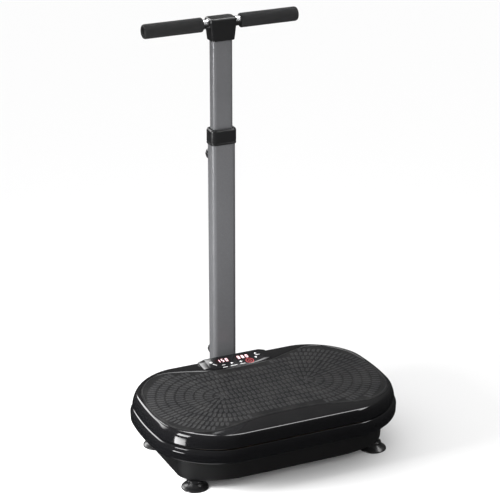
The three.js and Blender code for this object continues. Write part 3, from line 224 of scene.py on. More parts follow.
class Skin:
    """The points and faces of one piece while it is made."""

    def __init__(self) -> None:
        """Start with nothing."""
        self.points: list[Array] = []
        self.faces: list[list[int]] = []
        self.count = 0

    def loft(self, rings: Array, low: bool = True, high: bool = True, loop: bool = False) -> "Skin":
        """Join rings of points by four-sided faces.

        Args:
            rings: Ring by point by coordinate, each ring anticlockwise seen from where the rings go.
            low: Whether the first ring is closed by a face.
            high: Whether the last ring is closed by a face.
            loop: Whether the last ring is joined to the first, in place of both end faces.

        Returns:
            This skin.
        """
        rows, columns = rings.shape[:2]
        i = np.arange(rows if loop else rows - 1)[:, None]
        j = np.arange(columns)[None, :]
        after, above = (j + 1) % columns, (i + 1) % rows
        corners = [i * columns + j, i * columns + after, above * columns + after, above * columns + j]
        quads = np.stack(np.broadcast_arrays(*corners), axis=-1).reshape(-1, 4) + self.count
        self.faces += quads.tolist()
        if low and not loop:
            self.faces.append((np.arange(columns)[::-1] + self.count).tolist())
        if high and not loop:
            self.faces.append((np.arange(columns) + (rows - 1) * columns + self.count).tolist())
        return self.add(rings.reshape(-1, 3))

    def add(self, points: Array) -> "Skin":
        """Add points, whose faces are already in.

        Args:
            points: The points, one row each.

        Returns:
            This skin.
        """
        self.points.append(points)
        self.count += len(points)
        return self

    def copies(self, points: Array, faces: Array, caps: Array) -> "Skin":
        """Add many copies of one small shape.

        Args:
            points: Copy by point by coordinate.
            faces: The four-sided faces of one copy.
            caps: The larger faces of one copy, one row each.

        Returns:
            This skin.
        """
        number, each = points.shape[:2]
        start = self.count + each * np.arange(number)[:, None, None]
        self.faces += (faces[None] + start).reshape(-1, faces.shape[1]).tolist()
        self.faces += (caps[None] + start).reshape(-1, caps.shape[1]).tolist()
        return self.add(points.reshape(-1, 3))

    def piece(
        self, name: str, body: str, finish: "Finish", stands_for: Sequence[str] = (), smooth: bool = True
    ) -> bpy.types.Object:
        """Make the object, dress it and set it on its body.

        Args:
            name: The piece's name.
            body: The CAD body that it rides on.
            finish: The finish of its surface.
            stands_for: The CAD nodes that it is shown in place of.
            smooth: Whether faces under the sharp angle blend.

        Returns:
            The object.
        """
        mesh = bpy.data.meshes.new(name)
        mesh.from_pydata(np.concatenate(self.points).tolist(), [], self.faces)
        work = bmesh.new()
        work.from_mesh(mesh)
        bmesh.ops.remove_doubles(work, verts=work.verts, dist=1e-7)
        bmesh.ops.recalc_face_normals(work, faces=work.faces)
        work.to_mesh(mesh)
        work.free()
        if smooth:
            mesh.shade_smooth()
            mesh.set_sharp_from_angle(angle=SHARP_ANGLE)
        piece = bpy.data.objects.new(name, mesh)
        bpy.context.scene.collection.objects.link(piece)
        mesh.materials.append(finish.material())
        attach(piece, body)
        if stands_for:
            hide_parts(*stands_for)
        log.info("%s on %s: %d faces, %s", name, body, len(mesh.polygons), finish.name)
        return piece


# ---- finishes ---------------------------------------------------------------------------------
class Relief(Enum):
    """What the small relief of a surface is made of."""

    PEEL = "peel"  # the faint waves of a gloss
    MOULDED = "moulded"
    FOAM = "foam"
    POWDER = "powder"
    BRUSHED = "brushed"
    TREAD = "tread"
    GRAIN = "grain"


PITS = {Relief.FOAM: 1.6, Relief.TREAD: 0.9, Relief.MOULDED: 0.5, Relief.POWDER: 0.2, Relief.PEEL: 0.0}


class Tree:
    """Places nodes in a node tree and joins them."""

    def __init__(self, tree: bpy.types.NodeTree) -> None:
        """Work in the given tree."""
        self.tree = tree

    def node(self, kind: str, settings: Optional[dict] = None, **inputs: object) -> bpy.types.Node:
        """Add a node, set its properties and fill or link its inputs.

        Args:
            kind: The node's type.
            settings: Properties of the node.
            **inputs: A value or a socket for each input, which is named by its label, with underscores for
                spaces, or by i and its number.

        Returns:
            The node.
        """
        node = self.tree.nodes.new(kind)
        for key, value in (settings or {}).items():
            setattr(node, key, value)
        for key, value in inputs.items():
            numbered = key[0] == "i" and key[1:].isdigit()
            socket = node.inputs[int(key[1:]) if numbered else key.replace("_", " ")]
            if isinstance(value, bpy.types.NodeSocket):
                self.tree.links.new(value, socket)
            else:
                socket.default_value = value
        return node

    def mix(self, share: object, first: object, second: object) -> Socket:
        """Mix two colours."""
        return self.node("ShaderNodeMix", {"data_type": "RGBA"}, i0=share, i6=first, i7=second).outputs[2]

    def math(self, operation: str, *values: object) -> Socket:
        """Work out a number."""
        inputs = {f"i{place}": value for place, value in enumerate(values)}
        return self.node("ShaderNodeMath", {"operation": operation}, **inputs).outputs[0]

    def ramp(
        self, value: object, low: object, high: object, to_low: object = 0.0, to_high: object = 1.0
    ) -> Socket:
        """Carry a number from one range to another, held at both ends."""
        node = self.node("ShaderNodeMapRange", None, i0=value, i1=low, i2=high, i3=to_low, i4=to_high)
        return node.outputs[0]

    def place(self) -> Socket:
        """Return the place on the piece, in metres."""
        return self.node("ShaderNodeTexCoord").outputs["Object"]

    def upward(self, vector: Socket) -> Socket:
        """Return the Z share of a vector."""
        return self.node("ShaderNodeSeparateXYZ", None, Vector=vector).outputs[2]

    def noise(self, where: Socket, scale: object, detail: float, distortion: float = 0.0) -> Socket:
        """Return a cloudy number about a half."""
        inputs = {"Vector": where, "Scale": scale, "Detail": detail, "Distortion": distortion}
        return self.node("ShaderNodeTexNoise", {"noise_dimensions": "3D"}, **inputs).outputs[0]

    def swing(self, noise: Socket, width: object) -> Socket:
        """Centre a cloudy number on nought and give it a width."""
        return self.math("MULTIPLY", self.math("SUBTRACT", noise, 0.5), width)

    def lit(self, color: object, value: Socket) -> Socket:
        """Make a colour lighter or darker by a factor."""
        return self.node("ShaderNodeHueSaturation", None, Color=color, Value=value).outputs[0]

    def over(self, mask: Socket, given: dict[str, Socket], top: object) -> Socket:
        """Lay a colour over the group's own by a mask and the group's amount."""
        return self.mix(self.math("MULTIPLY", mask, given["Amount"]), given["Color"], top)


class Effects:
    """The shader groups that the finishes share, each built once.

    A group's method takes the tree to fill and the group's inputs, and returns what the group gives.
    """

    grey = (0.5, 0.5, 0.5, 1.0)
    dust_color = (0.42, 0.41, 0.39, 1.0)
    inputs: dict[str, dict[str, object]] = {
        "tone_drift": {"Color": grey, "Drift": 0.1, "Scale": 12.0},
        "edge_wear_and_glint": {"Color": grey, "Worn": (0.7, 0.7, 0.7, 1.0), "Amount": 0.3},
        "settled_dust": {"Color": grey, "Amount": 0.05},
        "handled": {"Roughness": 0.4, "Spread": 0.1, "Scale": 18.0},
        "speckle": {"Scale": 600.0, "Pits": 0.4},
        "drawn_lines": {"Across": 900.0, "Along": 12.0},
        "painted_groove_shade": {"Color": grey, "Low": 0.0, "High": 0.001, "Groove": 0.3},
        "flakes": {"Color": grey, "Flake": (0.6, 0.6, 0.6, 1.0), "Scale": 1500.0, "Amount": 0.3},
    }
    outputs = {"handled": "Roughness", "speckle": "Height", "drawn_lines": "Height"}

    @classmethod
    def get(cls, name: str) -> bpy.types.NodeTree:
        """Return a group by name, building it the first time.

        Args:
            name: The group's name, which is also its method's.

        Returns:
            The group.
        """
        if name in bpy.data.node_groups:
            return bpy.data.node_groups[name]
        group = bpy.data.node_groups.new(name, "ShaderNodeTree")
        for label, default in cls.inputs[name].items():
            kind = "NodeSocketColor" if isinstance(default, tuple) else "NodeSocketFloat"
            group.interface.new_socket(label, in_out="INPUT", socket_type=kind).default_value = default
        label = cls.outputs.get(name, "Color")
        kind = "NodeSocketColor" if label == "Color" else "NodeSocketFloat"
        group.interface.new_socket(label, in_out="OUTPUT", socket_type=kind)
        tree = Tree(group)
        entry = tree.node("NodeGroupInput")
        result = getattr(cls, name)(tree, {label: entry.outputs[label] for label in cls.inputs[name]})
        group.links.new(result, tree.node("NodeGroupOutput").inputs[0])
        return group

    @staticmethod
    def tone_drift(tree: Tree, given: dict[str, Socket]) -> Socket:
        """Drift a colour lighter and darker in slow clouds, and finer ones inside them."""
        cloud = tree.noise(tree.place(), given["Scale"], 4.0)
        return tree.lit(given["Color"], tree.math("ADD", 1.0, tree.swing(cloud, given["Drift"])))

    @staticmethod
    def edge_wear_and_glint(tree: Tree, given: dict[str, Socket]) -> Socket:
        """Lighten a colour where the surface is sharply convex, broken up by noise: wear on most finishes, and
        a painted glint on the mat's dash edges.
        """
        edge = tree.ramp(tree.node("ShaderNodeNewGeometry").outputs["Pointiness"], 0.53, 0.62)
        broken = tree.math("MULTIPLY", edge, tree.ramp(tree.noise(tree.place(), 140.0, 3.0), 0.35, 0.7))
        return tree.over(broken, given, given["Worn"])

    @staticmethod
    def settled_dust(tree: Tree, given: dict[str, Socket]) -> Socket:
        """Lighten a colour a little where the surface faces up, in soft patches."""
        up = tree.upward(tree.node("ShaderNodeNewGeometry").outputs["Normal"])
        patch = tree.ramp(tree.noise(tree.place(), 26.0, 6.0), 0.4, 0.75)
        return tree.over(tree.math("MULTIPLY", tree.ramp(up, 0.3, 1.0), patch), given, Effects.dust_color)

    @staticmethod
    def handled(tree: Tree, given: dict[str, Socket]) -> Socket:
        """Vary a roughness in smears, as handling and wiping leave them."""
        smear = tree.swing(tree.noise(tree.place(), given["Scale"], 5.0, 0.8), given["Spread"])
        least = 0.02
        return tree.math("MAXIMUM", tree.math("ADD", given["Roughness"], smear), least)

    @staticmethod
    def speckle(tree: Tree, given: dict[str, Socket]) -> Socket:
        """Return the height of a fine moulded or sprayed grain: noise with pits between its cells."""
        where = tree.place()
        cells = tree.node("ShaderNodeTexVoronoi", None, Vector=where, Scale=given["Scale"]).outputs[0]
        pits = tree.math("MULTIPLY", cells, given["Pits"])
        return tree.math("ADD", tree.noise(where, given["Scale"], 3.0), pits)

    @staticmethod
    def drawn_lines(tree: Tree, given: dict[str, Socket]) -> Socket:
        """Return fine lines along Z or round it, as drawing, brushing or sawing leaves them."""
        scales = {"i0": given["Across"], "i1": given["Across"], "i2": given["Along"]}
        stretch = tree.node("ShaderNodeCombineXYZ", None, **scales).outputs[0]
        multiply = {"operation": "MULTIPLY"}
        spread = tree.node("ShaderNodeVectorMath", multiply, i0=tree.place(), i1=stretch).outputs[0]
        return tree.noise(spread, 1.0, 4.0)

    @staticmethod
    def painted_groove_shade(tree: Tree, given: dict[str, Socket]) -> Socket:
        """Darken a colour in the grooves of a relief, below the given heights, as painted shade."""
        height = tree.upward(tree.place())
        return tree.lit(given["Color"], tree.ramp(height, given["Low"], given["High"], given["Groove"]))

    @staticmethod
    def flakes(tree: Tree, given: dict[str, Socket]) -> Socket:
        """Speckle a colour with small bright flakes, as in a metallic coat."""
        cells = tree.node("ShaderNodeTexVoronoi", None, Vector=tree.place(), Scale=given["Scale"]).outputs[1]
        each = tree.node("ShaderNodeSeparateColor", None, Color=cells).outputs[0]
        return tree.over(tree.ramp(each, 0.72, 1.0), given, given["Flake"])


@dataclass(frozen=True)
class Finish:
    """One finish: its colour, how it shines and the relief that it has close up."""

    name: str
    color: Color
    roughness: float
    relief: Relief
    scale: float = 600.0  # grains in a metre
    depth: float = 0.03 * MM  # height of the relief
    metallic: float = 0.0
    specular: float = 0.5
    coat: float = 0.0
    spread: float = 0.08
    drift: float = 0.15
    # Lighter sharp edges: real wear on most finishes, a painted glint on the mat's dash edges.
    worn: Optional[Color] = None
    dust: float = 0.0
    flake: float = 0.0
    glow: float = 0.0
    # Heights below which a relief's grooves are darkened as painted shade.
    tread: Optional[tuple[float, float]] = None  # heights between which grooves give way to lighter crests

    def material(self) -> bpy.types.Material:
        """Return the material, building it the first time."""
        ready = bpy.data.materials.get(self.name)
        return ready if ready and ready.get("finish") == self.name else self.build()

    def build(self) -> bpy.types.Material:
        """Build the material's nodes and return it."""
        material = bpy.data.materials.new(self.name)
        material["finish"] = self.name
        material.use_nodes = True
        material.node_tree.nodes.clear()
        tree = Tree(material.node_tree)
        rough = self.group(tree, "handled", Roughness=self.roughness, Spread=self.spread)
        shader = tree.node("ShaderNodeBsdfPrincipled", None, Base_Color=self.tint(tree), Roughness=rough)
        shader.inputs["Metallic"].default_value = self.metallic
        shader.inputs["Specular IOR Level"].default_value = self.specular
        shader.inputs["Coat Weight"].default_value = self.coat
        shader.inputs["Coat Roughness"].default_value = 0.06
        # Emission: the display digits are lit; on the printed marks it is a painted glow.
        if self.glow:
            shader.inputs["Emission Color"].default_value = (*self.color, 1.0)
            shader.inputs["Emission Strength"].default_value = self.glow
        bump = tree.node("ShaderNodeBump", None, Height=self.height(tree), Strength=1.0, Distance=self.depth)
        tree.tree.links.new(bump.outputs[0], shader.inputs["Normal"])
        tree.node("ShaderNodeOutputMaterial", None, Surface=shader.outputs[0])
        material.diffuse_color = (*self.color, 1.0)
        return material

    @staticmethod
    def group(tree: Tree, name: str, **inputs: object) -> Socket:
        """Place one of the shared groups and return its output."""
        return tree.node("ShaderNodeGroup", {"node_tree": Effects.get(name)}, **inputs).outputs[0]

    def tint(self, tree: Tree) -> Socket:
        """Place the colour, with its drift, flakes, grain, painted groove shade, wear, painted edge glint and
        dust.

        Args:
            tree: The material's nodes.

        Returns:
            The colour.
        """
        tint = self.group(tree, "tone_drift", Color=(*self.color, 1.0), Drift=self.drift)
        if self.flake:
            bright = tuple(min(1.0, 2.4 * channel) for channel in self.color)
            tint = self.group(tree, "flakes", Color=tint, Flake=(*bright, 1.0), Amount=self.flake)
        if self.relief is Relief.GRAIN:
            lines = self.group(tree, "drawn_lines", Across=9.0, Along=self.scale)
            dark = tuple(0.55 * channel for channel in self.color)
            tint = tree.mix(tree.ramp(lines, 0.35, 0.7), tint, (*dark, 1.0))
        # Painted shade in the grooves of the relief.
        if self.tread:
            tint = self.group(tree, "painted_groove_shade", Color=tint, Low=self.tread[0], High=self.tread[1])
        # Lighter sharp edges: wear, and on the mat a painted glint.
        if self.worn:
            tint = self.group(tree, "edge_wear_and_glint", Color=tint, Worn=(*self.worn, 1.0))
        if self.dust:
            tint = self.group(tree, "settled_dust", Color=tint, Amount=self.dust)
        return tint

    def height(self, tree: Tree) -> Socket:
        """Place the relief.

        Args:
            tree: The material's nodes.

        Returns:
            The relief's height.
        """
        if self.relief in (Relief.BRUSHED, Relief.GRAIN):
            return self.group(tree, "drawn_lines", Across=self.scale, Along=14.0)
        return self.group(tree, "speckle", Scale=self.scale, Pits=PITS[self.relief])


class Finishes:
    """Every finish on the machine: name, colour, roughness, relief, grains in a metre, height of the relief."""

    shell = Finish(
        "gloss_shell", (0.004, 0.004, 0.0045), 0.075, Relief.PEEL, 55.0, 0.006 * MM, spread=0.04, dust=0.006
    )
    film = Finish("console_film", (0.006, 0.006, 0.007), 0.12, Relief.PEEL, 90.0, 0.002 * MM, spread=0.04)
    window = Finish("display_window", (0.012, 0.002, 0.003), 0.05, Relief.PEEL, 60.0, 0.004 * MM, spread=0.03)
    lit = Finish("lit_digits", (1.0, 0.62, 0.66), 0.4, Relief.PEEL, glow=1.6, drift=0.0)
    # The white and red prints carry a painted glow, as the printed keys are not lit.
    print_white = Finish("white_print_painted_glow", (0.8, 0.8, 0.8), 0.45, Relief.PEEL, 900.0, 0.004 * MM, glow=0.25)
    print_red = Finish("red_print_painted_glow", (0.5, 0.02, 0.03), 0.4, Relief.PEEL, 900.0, 0.004 * MM, glow=0.2)
    pan = Finish(
        "satin_pan", (0.006, 0.006, 0.0064), 0.4, Relief.MOULDED, 850.0, 0.025 * MM, worn=(0.08, 0.08, 0.08)
    )
    trim = Finish(
        "satin_trim", (0.011, 0.011, 0.0115), 0.3, Relief.MOULDED, 900.0, 0.02 * MM, worn=(0.07, 0.07, 0.07)
    )
    # The mat's lighter dash edges are a painted glint, and its darker grooves are painted shade.
    mat = Finish(
        "mat_rubber", (0.021, 0.021, 0.0222), 0.56, Relief.TREAD, 700.0, 0.05 * MM,
        specular=0.07, dust=0.03, worn=(0.09, 0.09, 0.09),
    )
    foot = Finish("foot_rubber", (0.007, 0.007, 0.0073), 0.3, Relief.MOULDED, 500.0, 0.02 * MM, dust=0.04)
    foam = Finish("grip_foam", (0.018, 0.018, 0.0185), 0.78, Relief.FOAM, 1500.0, 0.14 * MM, specular=0.35)
    tube = Finish(
        "metallic_coat", (0.14, 0.141, 0.147), 0.34, Relief.POWDER, 1100.0, 0.012 * MM, metallic=0.3, flake=0.3
    )
    chrome = Finish("bright_steel", (0.62, 0.62, 0.63), 0.2, Relief.BRUSHED, 700.0, 0.004 * MM, metallic=1.0)
    steel = Finish(
        "plain_steel", (0.45, 0.45, 0.46), 0.36, Relief.BRUSHED, 900.0, 0.01 * MM,
        metallic=1.0, worn=(0.7, 0.7, 0.7),
    )
    zinc = Finish("zinc_plate", (0.55, 0.56, 0.58), 0.3, Relief.BRUSHED, 700.0, 0.006 * MM, metallic=1.0)
    brass = Finish("brass_pin", (0.6, 0.42, 0.16), 0.28, Relief.BRUSHED, 700.0, 0.004 * MM, metallic=1.0)
    alloy = Finish("cast_alloy", (0.5, 0.5, 0.52), 0.5, Relief.MOULDED, 420.0, 0.06 * MM, metallic=1.0)
    powder = Finish(
        "black_powder_coat", (0.018, 0.018, 0.019), 0.45, Relief.POWDER, 900.0, 0.035 * MM, worn=(0.3, 0.3, 0.3)
    )
    nylon = Finish("sliding_plastic", (0.5, 0.5, 0.48), 0.4, Relief.MOULDED, 600.0, 0.02 * MM)
    belt = Finish("belt_rubber", (0.02, 0.02, 0.021), 0.6, Relief.TREAD, 400.0, 0.05 * MM)
    board = Finish("ply_board", (0.42, 0.3, 0.18), 0.6, Relief.GRAIN, 40.0, 0.05 * MM)
    card = Finish("circuit_card", (0.02, 0.14, 0.05), 0.35, Relief.PEEL, 200.0, 0.01 * MM, coat=0.3)


# The solids that show as they are, by finish. Those ending in * have a front and a rear one.
CARRIED = {
    Finishes.powder: (
        "chassis_frame", "deck_frame", "motor_bracket", "motor_housing", "power_supply", "pivot_post_*",
    ),
    Finishes.steel: (
        "crankshaft", "crank_pulley", "motor_rotor", "motor_pulley",
        "crank_bearing_*", "pivot_pin_*", "rod_pin_*",
    ),
    Finishes.zinc: ("bracket_bolt_left", "bracket_bolt_right", "knob_nut"),
    Finishes.alloy: ("connecting_rod_*", "crank_block_*"),
    Finishes.nylon: ("guide_sleeve", "slide_bush", "pivot_bush_*"),
    Finishes.belt: (
        "drive_belt", "buffer_front_left", "buffer_front_right", "buffer_rear_left", "buffer_rear_right",
    ),
    Finishes.board: ("deck_board",),
    Finishes.card: ("control_board",),
}


# ---- deck -------------------------------------------------------------------------------------
@dataclass
class Deck:
    """The rocking deck: two gloss shells, with a rubber mat let into the upper one."""

    top_grow: tuple[float, float] = (12.0 * MM, 5.5 * MM)  # upper shell's lip past the rim
    front_corner: tuple[float, float] = (150 * MM, 150 * MM)
    rear_corner: tuple[float, float] = (132 * MM, 132 * MM)
    end_bow: float = 0.1  # share of the length lost from the middle to the long sides
    wall: float = 3.0 * MM
    recess: float = 2.8 * MM
    mat_margin: float = 4.5 * MM  # rim to the mat's ends
    sides: int = 420
    dash_length: float = 23.0 * MM
    dash_width: float = 9.4 * MM
    dash_height: float = 1.1 * MM
    dash_lean: float = 1.1 * MM  # how far a dash's sides lean in
    row_pitch: float = 25.0 * MM  # dash to dash along a ray from the spine
    dash_pitch: float = 12.8 * MM  # dash to dash along a row
    spine: float = 120 * MM  # half of the line that the rows go round
    rows: int = 10
    first_row: float = 12.25 * MM  # spine to the first row
    middle: Vector = field(init=False)
    half: tuple[float, float] = field(init=False)  # half of the rim's length and width
    top: float = field(init=False)
    bottom: float = field(init=False)
    angles: Array = field(init=False)

    def __post_init__(self) -> None:
        """Read the deck's middle, rim and height from the frame."""
        low, high = node_box("upper_shell")
        self.middle = (low + high) / 2
        self.half = ((high.x - low.x) / 2 - self.top_grow[0], (high.y - low.y) / 2 - self.top_grow[1])
        self.top = high.z
        self.bottom = low.z
        self.angles = np.linspace(-np.pi, np.pi, self.sides, endpoint=False)

    def ring(self, grow_x: float, grow_y: float, z: float) -> Array:
        """Return the deck's outline at a height, with its ends bowed.

        A point at y loses the share bow * (y / half width) squared of its x.

        Args:
            grow_x: How far the outline is grown along X.
            grow_y: How far it is grown along Y.
            z: Its height.

        Returns:
            The outline, with one point for each of the deck's angles.
        """
        half_x, half_y = self.half[0] + grow_x, self.half[1] + grow_y
        flat = rounded_outline(half_x, half_y, self.front_corner, self.rear_corner, 64, 24)
        flat[:, 0] *= 1 - self.end_bow * (flat[:, 1] / self.half[1]) ** 2
        return self.lift(seen_from_middle(flat, self.angles), z)

    def lift(self, flat: Array, z: float) -> Array:
        """Move a flat outline from the deck's middle to its place at a height."""
        return standing(flat + (self.middle.x, self.middle.y), z)

    def mat_outline(self, grow: float) -> Array:
        """Return the mat's outline as seen from the middle: waisted, and fuller over the corners.

        Args:
            grow: How far it is grown.

        Returns:
            The outline, with one point for each of the deck's angles.
        """
        end_x = self.half[0] - self.mat_margin
        wide = self.half[1]

        def quarter(
            side: int, waist: float, lobe: float, lobe_x: float, end: Sequence[Sequence[float]]
        ) -> Array:
            """Return one quarter's points, from the middle of a long side to near the end.

            Args:
                side: -1 for the front, 1 for the rear.
                waist: Rim to the mat at the middle.
                lobe: Rim to the mat where it is fullest.
                lobe_x: Middle to where it is fullest.
                end: Millimetres in from the mat's end, and along Y, of the points that turn it.

            Returns:
                The points.
            """
            near_end = [(end_x - inset * MM, y * MM) for inset, y in end]
            rows = [
                (0, wide - waist),
                (lobe_x * 0.42, wide - waist + (waist - lobe) * 0.14),
                (lobe_x * 0.72, wide - lobe - (waist - lobe) * 0.35),
                (lobe_x, wide - lobe),
                (lobe_x + 42 * MM, wide - lobe - 9 * MM),
                *near_end,
            ]
            return np.array(rows) * (1, side)

        front = quarter(-1, 71.5 * MM, 40 * MM, 208 * MM, [(46, 150), (16.5, 113), (3.5, 60)])
        rear = quarter(1, 68.5 * MM, 25.5 * MM, 206 * MM, [(47, 156), (20.5, 114), (7.5, 62)])
        flip = np.array([-1, 1])
        ends = np.array([[end_x, 0.0]])
        loop = [front, ends, rear[::-1], rear[1:] * flip, ends * flip, front[:0:-1] * flip]
        return seen_from_middle(grown(smooth_loop(np.concatenate(loop), 10), grow), self.angles)

    def upper_shell(self) -> None:
        """Build the upper shell: a rounded skirt, a flat apron and the recess that holds the mat."""
        gx, gy = self.top_grow
        t, b, w = self.top, self.bottom, self.wall
        lip = [(gx - w, gy - w, b + 0.4 * MM), (gx - w / 2, gy - w / 2, b), (gx, gy, b + 0.8 * MM)]
        side = [(10 * MM, 4.2 * MM, b + 12 * MM), (6 * MM, 2.4 * MM, b + 24 * MM)]
        side += [(2.2 * MM, 1 * MM, t - 4.6 * MM)]
        edge = [(-0.8 * MM, -0.8 * MM, t - 1.0 * MM), (-7 * MM, -7 * MM, t)]
        profile = eased([(-w - 2 * MM, -w - 2 * MM, t - 6.4 * MM), *lip, *side, *edge], 3.6 * MM, 7)
        rings = [self.ring(*row) for row in profile]
        ledge = [(1.6 * MM, 0.0), (0.8 * MM, -0.25 * MM), (0.4 * MM, -0.9 * MM), (0.4 * MM, -self.recess)]
        rings += [self.lift(self.mat_outline(grow), t + drop) for grow, drop in ledge]
        Skin().loft(np.stack(rings)).piece("upper_shell_skin", "deck", Finishes.shell, ["upper_shell"])

    def lower_shell(self) -> None:
        """Build the lower shell: a closed wall with a soft crease under a sloping ledge."""
        low, high = node_box("lower_shell")
        gx, gy = (high.x - low.x) / 2 - self.half[0], (high.y - low.y) / 2 - self.half[1]
        b, t, w = low.z, high.z, self.wall
        crease = t - 13.5 * MM
        outer = [
            (gx - 2 * MM, gy - 2 * MM, b),
            (gx - 0.5 * MM, gy - 1 * MM, b + 3 * MM),
            (gx, gy, crease),
            (gx - 5 * MM, gy - 2 * MM, t - 3 * MM),
            (gx - 9 * MM, gy - 3 * MM, t),
            (-8 * MM, -8 * MM, t),
        ]
        inner = [
            (-8 * MM, -8 * MM, t - w),
            (gx - w, gy - w, crease - 3 * MM),
            (gx - w - 0.5 * MM, gy - w - 1 * MM, b + w + 1 * MM),
            (-14 * MM, -16 * MM, b + w),
            (-14 * MM, -16 * MM, b),
        ]
        profile = np.concatenate([eased([inner[-1], *outer], 2.4 * MM, 6)[1:], np.array(inner)])
        rings = np.stack([self.ring(*row) for row in profile])
        Skin().loft(rings, loop=True).piece("lower_shell_skin", "deck", Finishes.shell, ["lower_shell"])

    def mat(self) -> None:
        """Build the mat: a thin slab with rows of raised dashes that point away from its middle.

        The rows go round the mat's spine, and each dash is turned to its ray away from it. Odd rows are
        shifted by half a pitch.
        """
        low, high = node_box("deck_mat")
        outline = self.mat_outline(0.0)
        heights = [low.z, high.z - 0.7 * MM, high.z - 0.2 * MM, high.z]
        rings = [self.lift(grown(outline, grow), z) for grow, z in zip((0, 0, -0.2 * MM, -0.8 * MM), heights)]
        bead = np.array([(-3.2, 0.0), (-3.8, 0.5), (-5.0, 0.6), (-6.2, 0.5), (-6.8, 0.0)]) * MM
        rings += [self.lift(grown(outline, grow), high.z + rise) for grow, rise in bead]
        skin = Skin().loft(np.stack(rings))
        places, rays = self.dash_places(outline)
        template, sides, cap = self.dash_shape()
        across = np.stack([-rays[:, 1], rays[:, 0]], axis=1)
        along, aside = template[None, :, :1], template[None, :, 1:2]
        flat = along * rays[:, None, :] + aside * across[:, None, :] + places[:, None, :]
        height = np.broadcast_to(template[None, :, 2:], (len(places), len(template), 1)) + high.z
        offset = np.array([self.middle.x, self.middle.y, 0.0])
        skin.copies(np.concatenate([flat, height], axis=2) + offset, sides, cap)
        # The mat's grooves below these heights are darkened as painted shade.
        finish = replace(Finishes.mat, tread=(high.z + 0.15 * MM, high.z + 0.8 * MM))
        skin.piece("mat_surface", "deck", finish, ["deck_mat"])

    def dash_places(self, outline: Array) -> tuple[Array, Array]:
        """Work out where the dashes stand.

        Each row follows a track at one distance from the mat's spine, a line along X through its middle.

        Args:
            outline: The mat's outline as seen from its middle.

        Returns:
            The dashes' middles and the unit rays, away from the spine, that they lie along.
        """
        places = []
        for row in range(self.rows):
            radius = self.first_row + row * self.row_pitch
            corner = (radius, radius)
            track = rounded_outline(self.spine + radius, radius, corner, corner, 48, 40)
            track = np.concatenate([track, track[:1]])
            walked = np.concatenate([[0], np.cumsum(np.linalg.norm(np.diff(track, axis=0), axis=1))])
            count = round(walked[-1] / self.dash_pitch)
            stops = walked[-1] * (np.arange(count) + 0.5 * (row % 2)) / count
            places.append(np.stack([np.interp(stops, walked, column) for column in track.T], axis=1))
        spots = np.concatenate(places)
        rays = spots - np.column_stack([np.clip(spots[:, 0], -self.spine, self.spine), np.zeros(len(spots))])
        rays /= np.linalg.norm(rays, axis=1, keepdims=True)
        margin = 4.0 * MM
        tips = spots + rays * (0.5 * self.dash_length + margin)
        bearing = np.arctan2(tips[:, 1], tips[:, 0])
        edge = np.interp(bearing, self.angles, np.hypot(*outline.T), period=2 * np.pi)
        inside = np.hypot(*tips.T) < edge
        return spots[inside], rays[inside]

    def dash_shape(self) -> tuple[Array, Array, Array]:
        """Return one dash's points, its sides and its top: a low round-ended bar with sloping sides."""
        ends = np.linspace(-np.pi / 2, np.pi / 2, 5)
        radius = self.dash_width / 2
        straight = self.dash_length / 2 - radius
        cap = np.stack([straight + radius * np.cos(ends), radius * np.sin(ends)], axis=1)
        outline = np.concatenate([cap, -cap])
        shrink = 1 - self.dash_lean / np.array([self.dash_length / 2, radius])
        number = len(outline)
        sunk = -0.15 * MM
        foot, crown = standing(outline, sunk), standing(outline * shrink, self.dash_height)
        j = np.arange(number)
        after = (j + 1) % number
        sides = np.stack([j, after, after + number, j + number], axis=1)
        return np.concatenate([foot, crown]), sides, (j + number)[None, :]

    def build(self) -> None:
        """Build the deck's pieces."""
        self.upper_shell()
        self.lower_shell()
        self.mat()


# ---- console ----------------------------------------------------------------------------------
SEGMENTS = {
    "top": ((-0.34, 0.92), (0.34, 0.92)),
    "middle": ((-0.34, 0.0), (0.34, 0.0)),
    "bottom": ((-0.34, -0.92), (0.34, -0.92)),
    "upper_left": ((-0.46, 0.1), (-0.46, 0.82)),
    "upper_right": ((0.46, 0.1), (0.46, 0.82)),
    "lower_left": ((-0.46, -0.82), (-0.46, -0.1)),
    "lower_right": ((0.46, -0.82), (0.46, -0.1)),
}
DIGITS = {
    "0": ("top", "bottom", "upper_left", "upper_right", "lower_left", "lower_right"),
    "1": ("upper_right", "lower_right"),
    "5": ("top", "middle", "bottom", "upper_left", "lower_right"),
    "8": tuple(SEGMENTS),
}


